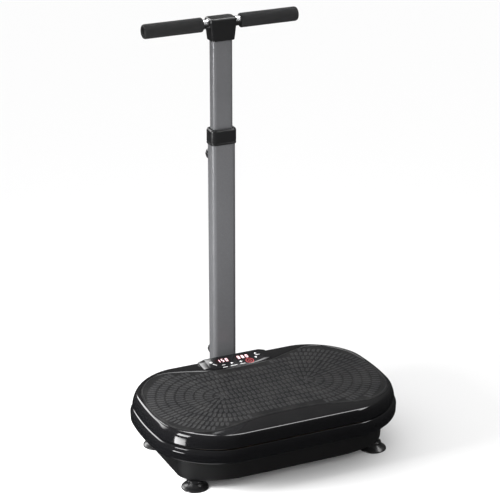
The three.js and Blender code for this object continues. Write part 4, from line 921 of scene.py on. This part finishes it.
@dataclass
class Console:
    """The control panel at the deck's rear: a black film with two lit displays and printed touch keys."""

    deck: Deck
    half: float = 100 * MM
    top_half: float = 82 * MM
    print_lift: float = 0.06 * MM
    print_root: float = -0.3 * MM
    stroke: float = 1.8 * MM
    readings: tuple[str, str] = ("150", "880")

    def __post_init__(self) -> None:
        """Work out the panel's plane from the frame."""
        low, high = node_box("console_panel")
        self.foot = low.z
        self.low_y, self.high_y = low.y, high.y
        self.slope = (high.z - low.z - 1.0 * MM) / (high.y - 3 * MM - low.y - 0.6 * MM)

    def height(self, y: Array) -> Array:
        """Return the panel's height at a place along Y."""
        return self.foot + 1.0 * MM + self.slope * (y - self.low_y)

    def outline(self, half: float, inset: float) -> Array:
        """Return the panel's plan: a bowed front edge, and a straight back with round corners.

        Args:
            half: Half of its length.
            inset: How far its back edge stands in from the panel's.

        Returns:
            The plan, anticlockwise.
        """
        t = np.linspace(-1, 1, 33)
        bow = 18 * MM * t**2
        front = np.column_stack([t * half, self.low_y + bow + inset * 0.2])
        back = self.high_y - inset
        turn = 7 * MM
        rows = [front[-1], (half, back - turn), (half, back), (half - turn - 1 * MM, back), (0, back)]
        side = eased(rows, turn, 7)[1:-1]
        return np.concatenate([front, side, (side * (-1, 1))[::-1]]) + (self.deck.middle.x, 0)

    def panel(self) -> None:
        """Build the panel's wedge with an eased top edge."""
        rows = [(self.half, 0.0, 0.0), (self.half - 0.5 * MM, 0.2 * MM, 0.35)]
        rows += [(self.top_half + 1.8 * MM, 1.6 * MM, 0.92)]
        rows += [(self.top_half + 0.6 * MM, 2.3 * MM, 0.985), (self.top_half, 3 * MM, 1.0)]
        rings = []
        for half, inset, share in rows:
            flat = self.outline(half, inset)
            rise = self.foot + share * (self.height(flat[:, 1]) - self.foot)
            rings.append(np.column_stack([flat, rise]))
        Skin().loft(np.stack(rings)).piece("console_shell", "deck", Finishes.film, ["console_panel"])

    def lay(self, flat: Array, lift: float) -> Array:
        """Lay flat points, counted from the deck's middle, on the panel."""
        x, y = flat[:, 0] + self.deck.middle.x, flat[:, 1] + self.deck.middle.y
        return np.column_stack([x, y, self.height(y) + lift])

    def mark(self, skin: Skin, flat: Array, lift: float = 0.0) -> None:
        """Add a printed mark with the given anticlockwise outline."""
        skin.loft(np.stack([self.lay(flat, lift + rise) for rise in (self.print_root, self.print_lift)]))

    @staticmethod
    def bar(start: Sequence[float], end: Sequence[float], width: float) -> Array:
        """Return the outline of a bar with pointed ends.

        Args:
            start: Where it starts.
            end: Where it ends.
            width: Its width.

        Returns:
            Its six points, anticlockwise.
        """
        a, b = np.asarray(start, dtype=float), np.asarray(end, dtype=float)
        along = (b - a) / np.linalg.norm(b - a)
        across = np.array([-along[1], along[0]]) * width / 2
        tip = along * width / 2
        return np.array([a - tip, a - across, b - across, b + tip, b + across, a + across])

    def displays(self) -> None:
        """Build the two dark windows and the numbers lit behind them."""
        for side, reading in zip(("left", "right"), self.readings):
            low, high = node_box(f"display_{side}")
            middle, half = (low + high) / 2, (high - low) / 2
            centre = np.array(middle - self.deck.middle)[:2]
            flat = rounded_outline(half.x, half.y, (1.6 * MM, 1.6 * MM), (1.6 * MM, 1.6 * MM), 8, 4) + centre
            window = Skin().loft(np.stack([self.lay(flat, lift * MM) for lift in (-1.0, 0.03, 0.08)]))
            window.piece(f"display_window_{side}", "deck", Finishes.window, [f"display_{side}"])
            digits = Skin()
            tall, pitch = 0.7 * half.y, 0.56 * half.x
            for place, figure in enumerate(reading):
                spot = centre + ((place - (len(reading) - 1) / 2) * pitch, 0)
                for name in DIGITS[figure]:
                    ends = [spot + np.array(end) * (0.72 * tall, tall) for end in SEGMENTS[name]]
                    self.mark(digits, self.bar(ends[0], ends[1], 1.7 * MM), 0.1 * MM)
            digits.piece(f"display_digits_{side}", "deck", Finishes.lit, smooth=False)

    @staticmethod
    def disc(centre: Sequence[float], radius: float, sides: int = 24) -> Array:
        """Return a round outline."""
        angle = np.linspace(0, 2 * np.pi, sides, endpoint=False)
        return np.asarray(centre) + radius * np.stack([np.cos(angle), np.sin(angle)], axis=1)

    def arc_mark(
        self, skin: Skin, centre: Sequence[float], radius: float, width: float, gap: float = 0.0
    ) -> None:
        """Add a printed ring.

        Args:
            skin: The skin that the ring joins.
            centre: The ring's middle, counted from the deck's.
            radius: The radius of its middle line.
            width: The width of its line.
            gap: The angle left open at its top, in radians.
        """
        angle = np.pi / 2 + np.linspace(gap / 2, 2 * np.pi - gap / 2, 40)
        ray = np.stack([np.cos(angle), np.sin(angle)], axis=1)
        outer = np.asarray(centre) + (radius + width / 2) * ray
        inner = np.asarray(centre) + (radius - width / 2) * ray
        if gap:
            self.mark(skin, np.concatenate([outer, inner[::-1]]))
            return
        low, high = self.print_root, self.print_lift
        walk = ((outer, low), (outer, high), (inner, high), (inner, low))
        skin.loft(np.stack([self.lay(edge[:-1], lift) for edge, lift in walk]), loop=True)

    def keys(self) -> None:
        """Print the touch keys: plain symbols over short bars, and a red power ring."""
        white, red = Skin(), Skin()
        power = np.array([34, 166]) * MM
        self.arc_mark(red, power, 10.5 * MM, 1.6 * MM)
        self.arc_mark(red, power, 4.6 * MM, 1.3 * MM, 1.2)
        self.mark(red, self.bar(power + (0, 1.5 * MM), power + (0, 5.6 * MM), 1.3 * MM))
        spots = {"mode": (-70, 190), "less": (-42, 168), "play": (-17, 170), "more": (9, 169)}
        spots |= {"rise": (63, 195), "fall": (57, 176)}
        at = {name: np.array(spot) * MM for name, spot in spots.items()}
        self.arc_mark(white, at["mode"], 3.0 * MM, 1.5 * MM)
        self.mark(white, self.disc(at["mode"], 1.1 * MM, 12))
        for key in ("less", "more"):
            self.mark(white, self.bar(at[key] - (4 * MM, 0), at[key] + (4 * MM, 0), self.stroke))
        for low, high in ((-4, -0.95), (0.95, 4)):
            self.mark(white, self.bar(at["more"] + (0, low * MM), at["more"] + (0, high * MM), self.stroke))
        arrows = {"play": [(-3, -4), (4.4, 0), (-3, 4)], "rise": [(-4.2, -2.6), (4.2, -2.6), (0, 4)]}
        arrows |= {"fall": [(4.2, 2.6), (-4.2, 2.6), (0, -4)]}
        for name, points in arrows.items():
            self.mark(white, at[name] + np.array(points) * MM)
        bars = {"mode": ((2, -9), (9, -18)), "less": ((-6, -11), (6, -11)), "play": ((-8, -12), (10, -12))}
        bars |= {"more": ((-6, -11), (8, -11)), "rise": ((-4, -9), (9, -9))}
        for name, ends in bars.items():
            start, end = at[name] + np.array(ends) * MM
            self.mark(white, self.bar(start, end, self.stroke + 0.1 * MM))
        # Both sets of marks carry a painted glow from their finishes.
        white.piece("key_marks", "deck", Finishes.print_white, smooth=False)
        red.piece("power_mark", "deck", Finishes.print_red, smooth=False)

    def build(self) -> None:
        """Build the console's pieces."""
        self.panel()
        self.displays()
        self.keys()


# ---- base -------------------------------------------------------------------------------------
@dataclass
class Base:
    """The fixed base: a satin pan on four sucker feet, with the power inlet in its left end."""

    corner: tuple[float, float] = (158 * MM, 84 * MM)
    wall: float = 4 * MM
    draft: float = 3 * MM
    foot_profile: tuple[tuple[float, float], ...] = (  # radius and height in millimetres
        (0.0, 4.0), (14.0, 3.6), (26.0, 1.6), (29.5, 0.0), (35.5, 0.0), (35.5, 1.4), (34.6, 3.4),
        (31.0, 6.2), (27.5, 8.4), (24.5, 11.2), (22.0, 14.6), (20.4, 17.8), (21.6, 18.6), (21.6, 20.8),
        (19.4, 21.6), (19.0, 23.4), (4.0, 23.4), (4.0, 48.0), (0.0, 48.0),
    )
    pin_places: tuple[tuple[float, float], ...] = ((0.0, 3.0), (-5.0, -2.4), (5.0, -2.4))  # millimetres

    def pan(self) -> None:
        """Build the pan: an open tray whose walls lean out, with a rounded lower edge."""
        low, high = node_box("base_pan")
        middle = (low + high) / 2
        half = ((high.x - low.x) / 2 - self.draft, (high.y - low.y) / 2 - self.draft)
        lean = self.draft / (high.z - low.z)

        def ring(grow: float, z: float) -> Array:
            """Return the pan's outline at a height, further out the higher it is.

            Args:
                grow: How far it stands out from the pan's outer face.
                z: Its height.

            Returns:
                The ring.
            """
            extra = grow + lean * (z - low.z)
            corner = tuple(radius + grow for radius in self.corner)
            flat = rounded_outline(half[0] + extra, half[1] + extra, corner, corner, 40, 24)
            return standing(flat + (middle.x, middle.y), z)

        outer = [(-9 * MM, low.z), (0.0, low.z), (0.0, low.z + 9 * MM), (0.0, high.z - 2 * MM), (0.0, high.z)]
        inner = [(-self.wall, high.z), (-self.wall, low.z + self.wall)]
        rings = np.stack([ring(*row) for row in eased([*outer, *inner], 4.2 * MM, 7)])
        Skin().loft(rings).piece("pan_skin", "base", Finishes.pan, ["base_pan"])

    def feet(self) -> None:
        """Build the four feet: a flared sucker under a turned neck."""
        for end in ("left", "right"):
            for side in ("front", "rear"):
                node = f"foot_{side}_{end}"
                low, high = node_box(node)
                middle = (low + high) / 2
                profile = eased(np.array(self.foot_profile) * MM, 0.9 * MM, 4)
                rings = turned(profile, Axis.Z, (middle.x, middle.y, low.z), 72)
                skin = Skin().loft(rings, low=False, high=False)
                skin.piece(f"sucker_{side}_{end}", "base", Finishes.foot, [node])

    def inlet(self) -> None:
        """Build the inlet: a rounded flange with a deep mouth, three pins in it, and the rocker beside it."""
        low, high = node_box("inlet_module")
        middle = (low + high) / 2
        mouth_y = middle.y - 9.5 * MM
        face = low.x

        def frame_ring(
            half_y: float, half_z: float, radius: float, x: float,
            y: float = middle.y, arc: int = 8, run: int = 3,
        ) -> Array:
            """Return a rounded rectangle, at the flange's height, that faces along -X.

            Args:
                half_y: Half of its width.
                half_z: Half of its height.
                radius: Radius of its corners.
                x: Where it stands along X.
                y: Where its middle is along Y.
                arc: Points on each corner.
                run: Points on each side.

            Returns:
                The ring.
            """
            flat = rounded_outline(half_y, half_z, (radius, radius), (radius, radius), arc, run)
            return np.column_stack([np.full(len(flat), x), y - flat[:, 0], middle.z + flat[:, 1]])

        half_y, half_z = (high.y - low.y) / 2, (high.z - low.z) / 2
        depths = [(0.0, 2.6), (0.0, 0.9), (-0.4, 0.3), (-1.2, 0.0)]
        rings = [frame_ring(half_y + g * MM, half_z + g * MM, 4 * MM, face + d * MM) for g, d in depths]
        Skin().loft(np.stack(rings)).piece("inlet_flange", "base", Finishes.trim, ["inlet_module"])
        lips = [(12.6, 9.1, 1.8, 0.0), (12.6, 9.1, 1.8, -0.5), (11.5, 8.0, 2.4, -0.5), (11.5, 8.0, 2.4, -0.05)]
        mouth = [frame_ring(y * MM, z * MM, r * MM, face + x * MM, mouth_y) for y, z, r, x in lips]
        Skin().loft(np.stack(mouth)).piece("inlet_mouth", "base", Finishes.foot)
        pins = Skin()
        for dy, dz in self.pin_places:
            size = (1.1 * MM, 2.2 * MM, 0.5 * MM)
            rings = [frame_ring(*size, face + x * MM, mouth_y + dy * MM, 4, 2) for x in (-0.02, -0.4)]
            pins.loft(np.stack(rings) + (0, 0, dz * MM))
        pins.piece("inlet_pins", "base", Finishes.brass)
        self.rocker()

    def rocker(self) -> None:
        """Build the rocker: a cap that bulges along its middle and leans back towards its top."""
        low, high = node_box("rocker_switch")
        middle, half = (low + high) / 2, (high - low) / 2
        steps = 25
        z = np.linspace(-1, 1, steps)
        bulge, lean = 1.44 * MM, 1.1 * MM
        face = low.x + 0.405 * MM + bulge * (1 - np.abs(z)) + lean * (1 + z)
        rows = []
        for share, sink in ((-1.0, 1.2), (-0.94, 0.4), (-0.8, 0.0), (0.8, 0.0), (0.94, 0.4), (1.0, 1.2)):
            y = np.full(steps, middle.y + share * half.y)
            front = np.column_stack([face + sink * MM, y, middle.z + z * half.z])
            rear = front[::-1].copy()
            rear[:, 0] = high.x - 2 * MM
            rows.append(np.concatenate([front, rear]))
        Skin().loft(np.stack(rows)).piece("rocker_cap", "rocker", Finishes.foot, ["rocker_switch"])

    def build(self) -> None:
        """Build the base's pieces."""
        self.pan()
        self.feet()
        self.inlet()


# ---- mast -------------------------------------------------------------------------------------
@dataclass
class Mast:
    """The telescopic mast with its socket, clamp collar, T head, handlebar and knobs."""

    wall: float = 2 * MM
    lower_corner: float = 12 * MM
    upper_corner: float = 10 * MM
    bar_radius: float = 12.7 * MM
    grip_radius: float = 19 * MM
    socket_wall: float = 3 * MM
    socket_grow: float = 4 * MM  # tube's face to the socket's
    ear_rise: float = 28 * MM  # socket's rear wall above its rim
    ear_half: float = 24 * MM
    plate: float = 4 * MM

    @staticmethod
    def bar_ring(half_x: float, half_y: float, radius: float, centre: Vector, z: float) -> Array:
        """Return a rounded rectangle round the mast's axis.

        Args:
            half_x: Half of its length along X.
            half_y: Half of its width along Y.
            radius: Radius of its corners.
            centre: A point on the mast's axis.
            z: Its height.

        Returns:
            The ring.
        """
        flat = rounded_outline(half_x, half_y, (radius, radius), (radius, radius), 14, 4)
        return standing(flat + (centre.x, centre.y), z)

    def tubes(self) -> None:
        """Build the two mast tubes, hollow and with eased rims."""
        for end, corner, body in (("lower", self.lower_corner, "base"), ("upper", self.upper_corner, "mast")):
            low, high = node_box(f"{end}_tube")
            centre, half = (low + high) / 2, (high - low) / 2
            walk = [(-self.wall, low.z), (0.0, low.z), (0.0, high.z), (-self.wall, high.z), (-self.wall, low.z)]
            rows = eased(walk, 0.5 * MM, 5)[:-1]
            rings = [self.bar_ring(half.x + g, half.y + g, max(corner + g, 1 * MM), centre, z) for g, z in rows]
            skin = Skin().loft(np.stack(rings), loop=True)
            skin.piece(f"mast_tube_{end}", body, Finishes.tube, [f"{end}_tube"])

    def collar(self) -> None:
        """Build the clamp collar: a moulded band with a stepped top and a shallow groove."""
        low, high = node_box("clamp_collar")
        centre, half = (low + high) / 2, (high - low) / 2
        inner = 29.0 * MM - half.x  # mouth round the upper tube
        under = -2.4 * MM  # band's wall round the lower tube
        rows = [
            (under, low.z), (0.0, low.z),
            (0.0, low.z + 4.6 * MM), (-0.7 * MM, low.z + 5.2 * MM),
            (-0.7 * MM, low.z + 6.6 * MM), (0.0, low.z + 7.2 * MM),
            (0.0, high.z - 4.2 * MM), (-2.6 * MM, high.z),
            (inner, high.z), (inner, high.z - 2.6 * MM),
            (under, high.z - 3.4 * MM),
        ]
        profile = eased(rows, 0.8 * MM, 4)
        corner = self.lower_corner + 2 * MM
        rings = []
        for g, z in profile:
            rings.append(self.bar_ring(half.x + g, half.y + g * 0.86, max(corner + g, 2 * MM), centre, z))
        Skin().loft(np.stack(rings), loop=True).piece("collar_band", "base", Finishes.trim, ["clamp_collar"])

    def socket(self) -> None:
        """Build the mast's socket with its tongue, ribs and knob boss."""
        low, high = node_box("mast_bracket")
        tube_low, tube_high = node_box("lower_tube")
        centre, half = (tube_low + tube_high) / 2, (tube_high - tube_low) / 2
        grow, wall = self.socket_grow, self.socket_wall
        rim = high.z - self.ear_rise
        walk = [(-wall, low.z + 3 * MM), (-wall, rim), (0.0, rim), (0.0, low.z), (-12 * MM, low.z)]
        corner = self.lower_corner + grow
        rings = []
        for g, z in eased(walk, 1.0 * MM, 5):
            out = grow + g
            rings.append(self.bar_ring(half.x + out, half.y + out, max(corner + g, 2 * MM), centre, z))
        skin = Skin().loft(np.stack(rings[::-1]))
        rail = node_box("chassis_frame")[1]
        sole = rail.z + 0.3 * MM
        bend, rear = rail.y + 4 * MM, centre.y - half.y - grow + 2 * MM
        flat = (sole, sole + self.plate)
        fork = 38 * MM  # middle to each leg of the fork
        rib_x, rib_y = half.x + grow - 0.5 * MM, rail.y + 52 * MM
        rib_wall = 5 * MM
        for sign in (-1, 1):
            self.slab(skin, (sign * fork, sign * high.x), (low.y, bend), flat)
            across = (sign * (rib_x - rib_wall), sign * rib_x)
            self.slab(skin, across, (rib_y, rear), (low.z + 4 * MM, sole + 18 * MM))
        self.slab(skin, (-high.x, high.x), (bend, rear), flat)
        ear_y = centre.y + half.y + grow
        ear = (ear_y - 0.1 * MM - wall, ear_y - 0.1 * MM)
        self.slab(skin, (-self.ear_half, self.ear_half), ear, (rim - 6 * MM, high.z))
        knob_low, knob_high = node_box("mast_knob")
        boss = np.array([(0.0, -2.0), (10.0, -2.0), (10.0, 8.0), (0.0, 8.0)]) * MM
        axis = (centre.x, ear_y, (knob_low.z + knob_high.z) / 2)
        skin.loft(turned(eased(boss, 1 * MM, 5), Axis.Y, axis, 40), low=False, high=False)
        skin.piece("mast_socket", "base", Finishes.powder, ["mast_bracket"])

    @staticmethod
    def slab(skin: Skin, x: Sequence[float], y: Sequence[float], z: Sequence[float]) -> None:
        """Add a flat bar with rounded edges to a skin.

        Args:
            skin: The skin.
            x: Where the bar starts and ends along X.
            y: Where it starts and ends along Y.
            z: Its underside and its top.
        """
        half = (abs(x[1] - x[0]) / 2, abs(y[1] - y[0]) / 2)
        radius = min(2.4 * MM, 0.9 * min(half))
        ease = min(0.7 * MM, 0.4 * (z[1] - z[0]))
        flat = rounded_outline(*half, (radius, radius), (radius, radius), 6, 2) + (sum(x) / 2, sum(y) / 2)
        tight = grown(flat, -ease)
        rows = ((tight, z[0]), (flat, z[0] + ease), (flat, z[1] - ease), (tight, z[1]))
        skin.loft(np.stack([standing(*row) for row in rows]))

    def head(self) -> None:
        """Build the T head: a block that widens upwards, with soft edges and a slightly dished top."""
        low, high = node_box("head_housing")
        centre = (low + high) / 2
        top_half = (high - low) / 2
        bottom = (top_half.x - 5.5 * MM, top_half.y - 2 * MM)
        rows = [
            (bottom[0] - 2.2 * MM, bottom[1] - 2.2 * MM, low.z),
            (bottom[0] - 0.6 * MM, bottom[1] - 0.6 * MM, low.z),
            (bottom[0], bottom[1], low.z + 1.6 * MM),
            (top_half.x, top_half.y, high.z - 6.5 * MM),
            (top_half.x - 1.2 * MM, top_half.y - 1.2 * MM, high.z - 1.6 * MM),
            (top_half.x - 5.5 * MM, top_half.y - 5.5 * MM, high.z),
            (top_half.x - 9 * MM, top_half.y - 9 * MM, high.z - 0.4 * MM),
        ]
        profile = eased(rows, 3.2 * MM, 6)
        rings = [self.bar_ring(x, y, 8 * MM if x > 24 * MM else 6 * MM, centre, z) for x, y, z in profile]
        Skin().loft(np.stack(rings)).piece("head_block", "mast", Finishes.trim, ["head_housing"])

    def handlebar(self) -> None:
        """Build the bar, its two foam grips and their end caps."""
        low, high = node_box("handlebar_tube")
        axis = (low + high) / 2
        inner = self.bar_radius - self.wall
        start, stop = low.x - axis.x, high.x - axis.x
        tube = [(inner, start), (self.bar_radius, start), (self.bar_radius, stop), (inner, stop)]
        skin = Skin().loft(turned(tube, Axis.X, axis, 56), loop=True)
        skin.piece("bar_tube", "mast", Finishes.chrome, ["handlebar_tube"])
        for end, sign in (("left", -1), ("right", 1)):
            grip_low, grip_high = node_box(f"grip_{end}")
            near, far = sorted((abs(grip_low.x - axis.x), abs(grip_high.x - axis.x)))
            r, b = self.grip_radius, self.bar_radius
            rows = [(b, near), (r - 2.6 * MM, near), (r, near + 2.4 * MM)]
            rows += [(r, far - 6 * MM), (r - 1.2 * MM, far - 1.6 * MM), (r - 4 * MM, far), (b, far)]
            profile = self.crowned(eased(rows, 1.8 * MM, 6), near, far)
            grip = Skin().loft(turned(profile * (1, sign), Axis.X, axis, 72), loop=True)
            grip_piece = grip.piece(f"grip_foam_{end}", "mast", Finishes.foam, [f"grip_{end}"])
            cap_far = far - 0.5 * MM
            plug, brim, under = b - 2.3 * MM, b - 0.4 * MM, far - 2.7 * MM
            cap = [(0.0, far - 15 * MM), (plug, far - 15 * MM), (plug, under), (brim, under), (brim, cap_far)]
            cap += [(8.5 * MM, cap_far), (7.5 * MM, cap_far - 0.8 * MM), (0.0, cap_far - 0.8 * MM)]
            rings = turned(eased(cap, 0.5 * MM, 4) * (1, sign), Axis.X, axis, 56)
            skin = Skin().loft(rings, low=False, high=False)
            skin.piece(f"bar_cap_{end}", "mast", Finishes.trim, [f"end_cap_{end}"])

    @staticmethod
    def crowned(profile: Array, near: float, far: float) -> Array:
        """Give a grip's long run a faint hand-cut waviness.

        Args:
            profile: Radius and station of each point, from the near end to the far one.
            near: Station of the near end.
            far: Station of the far end.

        Returns:
            The profile with its long run in waves.
        """
        outer = profile[:, 0].max()
        run = np.linspace(near + 8 * MM, far - 10 * MM, 24)
        wave = outer - 0.12 * MM * (1 + np.sin(run / (17 * MM))) / 2
        before = profile[profile[:, 1] < run[0]]
        after = profile[profile[:, 1] > run[-1]]
        return np.concatenate([before, np.column_stack([wave, run]), after])

    def knobs(self) -> None:
        """Build the two fluted knobs with their steel screws."""
        for node, length in (("height_knob", 43 * MM), ("mast_knob", 39.5 * MM)):
            low, high = node_box(node)
            middle = (low + high) / 2
            radius = (high.z - low.z) / 2
            tip, seat = high.y, high.y - length
            rows = [
                (0.0, seat), (radius * 0.6, seat),
                (radius * 0.62, seat + 4 * MM), (radius * 0.93, seat + 8 * MM),
                (radius * 0.98, seat + 12 * MM), (radius * 0.98, tip - 9 * MM),
                (radius * 0.92, tip - 4 * MM), (radius * 0.72, tip - 1 * MM), (radius * 0.5, tip - 0.6 * MM),
                (radius * 0.42, tip - 1.4 * MM), (0.0, tip - 1.4 * MM),
            ]
            axis = (middle.x, 0.0, middle.z)
            rings = self.fluted(turned(eased(rows, 1.6 * MM, 5), Axis.Y, axis, 120), middle, radius)
            Skin().loft(rings, low=False, high=False).piece(f"{node}_grip", node, Finishes.trim, [node])
            shank, root = 4 * MM, seat + 2 * MM
            walk = [(0.0, low.y), (shank - 0.8 * MM, low.y), (shank, low.y + 1 * MM)]
            walk += [(shank, root), (0.0, root)]
            screw = turned(eased(walk, 0.4 * MM, 3), Axis.Y, axis, 32)
            Skin().loft(screw, low=False, high=False).piece(f"{node}_screw", node, Finishes.zinc)

    @staticmethod
    def fluted(rings: Array, middle: Vector, radius: float) -> Array:
        """Press flutes into a knob's rim.

        The rim dips by depth * (half - half cos(lobes a)) cubed at angle a, and the dip fades out towards
        the middle.

        Args:
            rings: The knob's rings, turned round an axis along Y.
            middle: A point on that axis.
            radius: The knob's radius.

        Returns:
            The rings with their flutes.
        """
        depth, lobes, start, fade = 0.07, 10, 0.7, 0.25
        aside, up = rings[..., 0] - middle.x, rings[..., 2] - middle.z
        near_rim = np.clip((np.hypot(up, aside) / radius - start) / fade, 0, 1)
        keep = 1 - depth * near_rim * (0.5 - 0.5 * np.cos(lobes * np.arctan2(up, aside))) ** 3
        return np.stack([middle.x + aside * keep, rings[..., 1], middle.z + up * keep], axis=-1)

    def build(self) -> None:
        """Build the mast's pieces."""
        self.tubes()
        self.collar()
        self.socket()
        self.head()
        self.handlebar()
        self.knobs()


# ---- studio -----------------------------------------------------------------------------------
@dataclass(frozen=True)
class SoftBox:
    """A lit card far away, seen only in reflections.

    Angles are in degrees, and the azimuth is counted from +X towards +Y.
    """

    azimuth: float
    elevation: float
    half_wide: float
    half_high: float
    strength: float
    blur: float = 0.06  # share of the card over which its edge fades
    fall: float = 0.0  # share of the strength lost towards higher azimuths


@dataclass
class Studio:
    """A pale floor, soft lights, far cards for the gloss to mirror, and the camera."""

    azimuth: float = math.radians(24.85)
    pitch: float = math.radians(21.69)
    camera_place: tuple[float, float, float] = (-2.010, -4.308, 2.430)
    focal: float = 142.7
    sensor: float = 36.0
    floor_color: Color = (0.93, 0.93, 0.93)
    room: float = 1.05
    cards: tuple[SoftBox, ...] = (
        SoftBox(-170.0, -4.0, 9.0, 9.0, 22.0, fall=0.55),
        SoftBox(-170.0, 26.0, 9.0, 6.0, 18.0, fall=0.3),
        SoftBox(121.0, 26.0, 24.0, 9.0, 9.0, blur=0.3),
        SoftBox(20.0, 60.0, 62.0, 7.0, 9.0, blur=0.4),
        SoftBox(-150.0, -62.0, 26.0, 8.0, 3.0, blur=0.4),
    )

    def camera(self) -> None:
        """Place the camera."""
        data = bpy.data.cameras.new("camera")
        data.lens, data.sensor_width = self.focal, self.sensor
        data.clip_end = 60.0
        camera = bpy.data.objects.new("camera", data)
        camera.location = self.camera_place
        camera.rotation_euler = Euler((math.pi / 2 - self.pitch, 0.0, -self.azimuth))
        bpy.context.scene.collection.objects.link(camera)
        bpy.context.scene.camera = camera

    def floor(self) -> None:
        """Lay the floor, which the gloss doesn't mirror."""
        side, tiles = 18.0, 12
        spread = np.linspace(-side / 2, side / 2, tiles + 1)
        x, y = np.meshgrid(spread, spread, indexing="ij")
        points = np.stack([x, y, 0 * x], axis=-1).reshape(-1, 3)
        i, j = np.meshgrid(np.arange(tiles), np.arange(tiles), indexing="ij")
        start = (i * (tiles + 1) + j).reshape(-1)
        faces = np.stack([start, start + tiles + 1, start + tiles + 2, start + 1], axis=1)
        mesh = bpy.data.meshes.new("floor")
        mesh.from_pydata(points.tolist(), [], faces.tolist())
        floor = bpy.data.objects.new("floor", mesh)
        bpy.context.scene.collection.objects.link(floor)
        paint = Finish("studio_floor", self.floor_color, 0.9, Relief.PEEL, 5.0, 0.0, specular=0.0, drift=0.0)
        mesh.materials.append(paint.material())
        floor.visible_glossy = False

    @staticmethod
    def panel(
        name: str, place: Sequence[float], target: Sequence[float], size: Sequence[float], power: float
    ) -> None:
        """Hang a rectangular soft light that only rough surfaces show.

        Args:
            name: The light's name.
            place: Where it hangs.
            target: What it points at.
            size: Its width and height.
            power: Its power in watts.
        """
        data = bpy.data.lights.new(name, "AREA")
        data.shape = "RECTANGLE"
        data.size, data.size_y = size
        data.energy = power
        data.specular_factor = 0.0
        light = bpy.data.objects.new(name, data)
        light.location = place
        light.rotation_euler = (Vector(target) - Vector(place)).to_track_quat("-Z", "Y").to_euler()
        light.visible_glossy = False
        light.visible_camera = False
        bpy.context.scene.collection.objects.link(light)

    @staticmethod
    def card(tree: Tree, toward: Socket, box: SoftBox) -> Socket:
        """Return how bright a card is in a direction.

        The card is a rectangle on the plane one unit away, square to its own direction. A direction d meets
        that plane at (d.right, d.up) / d.ahead, and the card is lit where both lie within its half sizes.

        Args:
            tree: The world's nodes.
            toward: The direction.
            box: The card.

        Returns:
            The brightness.
        """
        turn, rise = math.radians(box.azimuth), math.radians(box.elevation)
        ahead = (math.cos(turn) * math.cos(rise), math.sin(turn) * math.cos(rise), math.sin(rise))
        right = (-math.sin(turn), math.cos(turn), 0.0)
        up = tuple(Vector(ahead).cross(Vector(right)))
        dots = []
        for axis in (ahead, right, up):
            dot = tree.node("ShaderNodeVectorMath", {"operation": "DOT_PRODUCT"}, i0=toward, i1=axis)
            dots.append(dot.outputs["Value"])
        depth = tree.math("MAXIMUM", dots[0], 1e-3)
        mask = tree.math("GREATER_THAN", dots[0], 0.0)
        for dot, half in zip(dots[1:], (box.half_wide, box.half_high)):
            edge = math.tan(math.radians(half))
            off = tree.math("ABSOLUTE", tree.math("DIVIDE", dot, depth))
            mask = tree.math("MULTIPLY", mask, tree.ramp(off, edge * (1 + box.blur), edge * (1 - box.blur)))
        side = tree.math("DIVIDE", dots[1], depth)
        edge = math.tan(math.radians(box.half_wide))
        shade = tree.ramp(side, -edge, edge, box.strength, box.strength * (1 - box.fall))
        return tree.math("MULTIPLY", mask, shade)

    def world(self) -> None:
        """Fill the room with soft white light, and let reflections see a dark room with lit cards."""
        world = bpy.data.worlds.new("room")
        bpy.context.scene.world = world
        world.use_nodes = True
        world.node_tree.nodes.clear()
        tree = Tree(world.node_tree)
        path = tree.node("ShaderNodeLightPath")
        toward = tree.node("ShaderNodeTexCoord").outputs["Generated"]
        total = tree.ramp(tree.upward(toward), -0.3, 0.8, 0.02, 0.24)
        for box in self.cards:
            total = tree.math("ADD", total, self.card(tree, toward, box))
        glossy, plain, seen = (
            tree.node("ShaderNodeBackground", None, Color=(1, 1, 1, 1), Strength=strength).outputs[0]
            for strength in (total, self.room, 1.0)
        )
        rays = path.outputs
        lit = tree.node("ShaderNodeMixShader", None, i0=rays["Is Glossy Ray"], i1=plain, i2=glossy).outputs[0]
        shown = tree.node("ShaderNodeMixShader", None, i0=rays["Is Camera Ray"], i1=lit, i2=seen).outputs[0]
        tree.node("ShaderNodeOutputWorld", None, Surface=shown)

    def build(self) -> None:
        """Build the studio."""
        self.camera()
        self.floor()
        self.world()
        self.panel("key_left", (-0.84, -0.12, 0.5), (-0.2, -0.05, 0.17), (0.4, 0.4), 15.0)
        bpy.context.scene.view_settings.view_transform = "Standard"


def dress_frame() -> None:
    """Give each CAD node that still shows the finish that it has inside the machine."""
    for finish, names in CARRIED.items():
        for name in names:
            ends = ("front", "rear") if name.endswith("*") else ("",)
            for end in ends:
                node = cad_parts[name.replace("*", end)]
                node.data.materials.clear()
                node.data.materials.append(finish.material())
                log.info("%s keeps its solid: %s", node.name, finish.name)


def main() -> None:
    """Build the machine's looks and the studio round it."""
    logging.basicConfig(level=logging.INFO, format="%(message)s")
    Studio().build()
    deck = Deck()
    for part in (deck, Console(deck), Base(), Mast()):
        part.build()
    dress_frame()


if __name__ == "__main__":
    main()
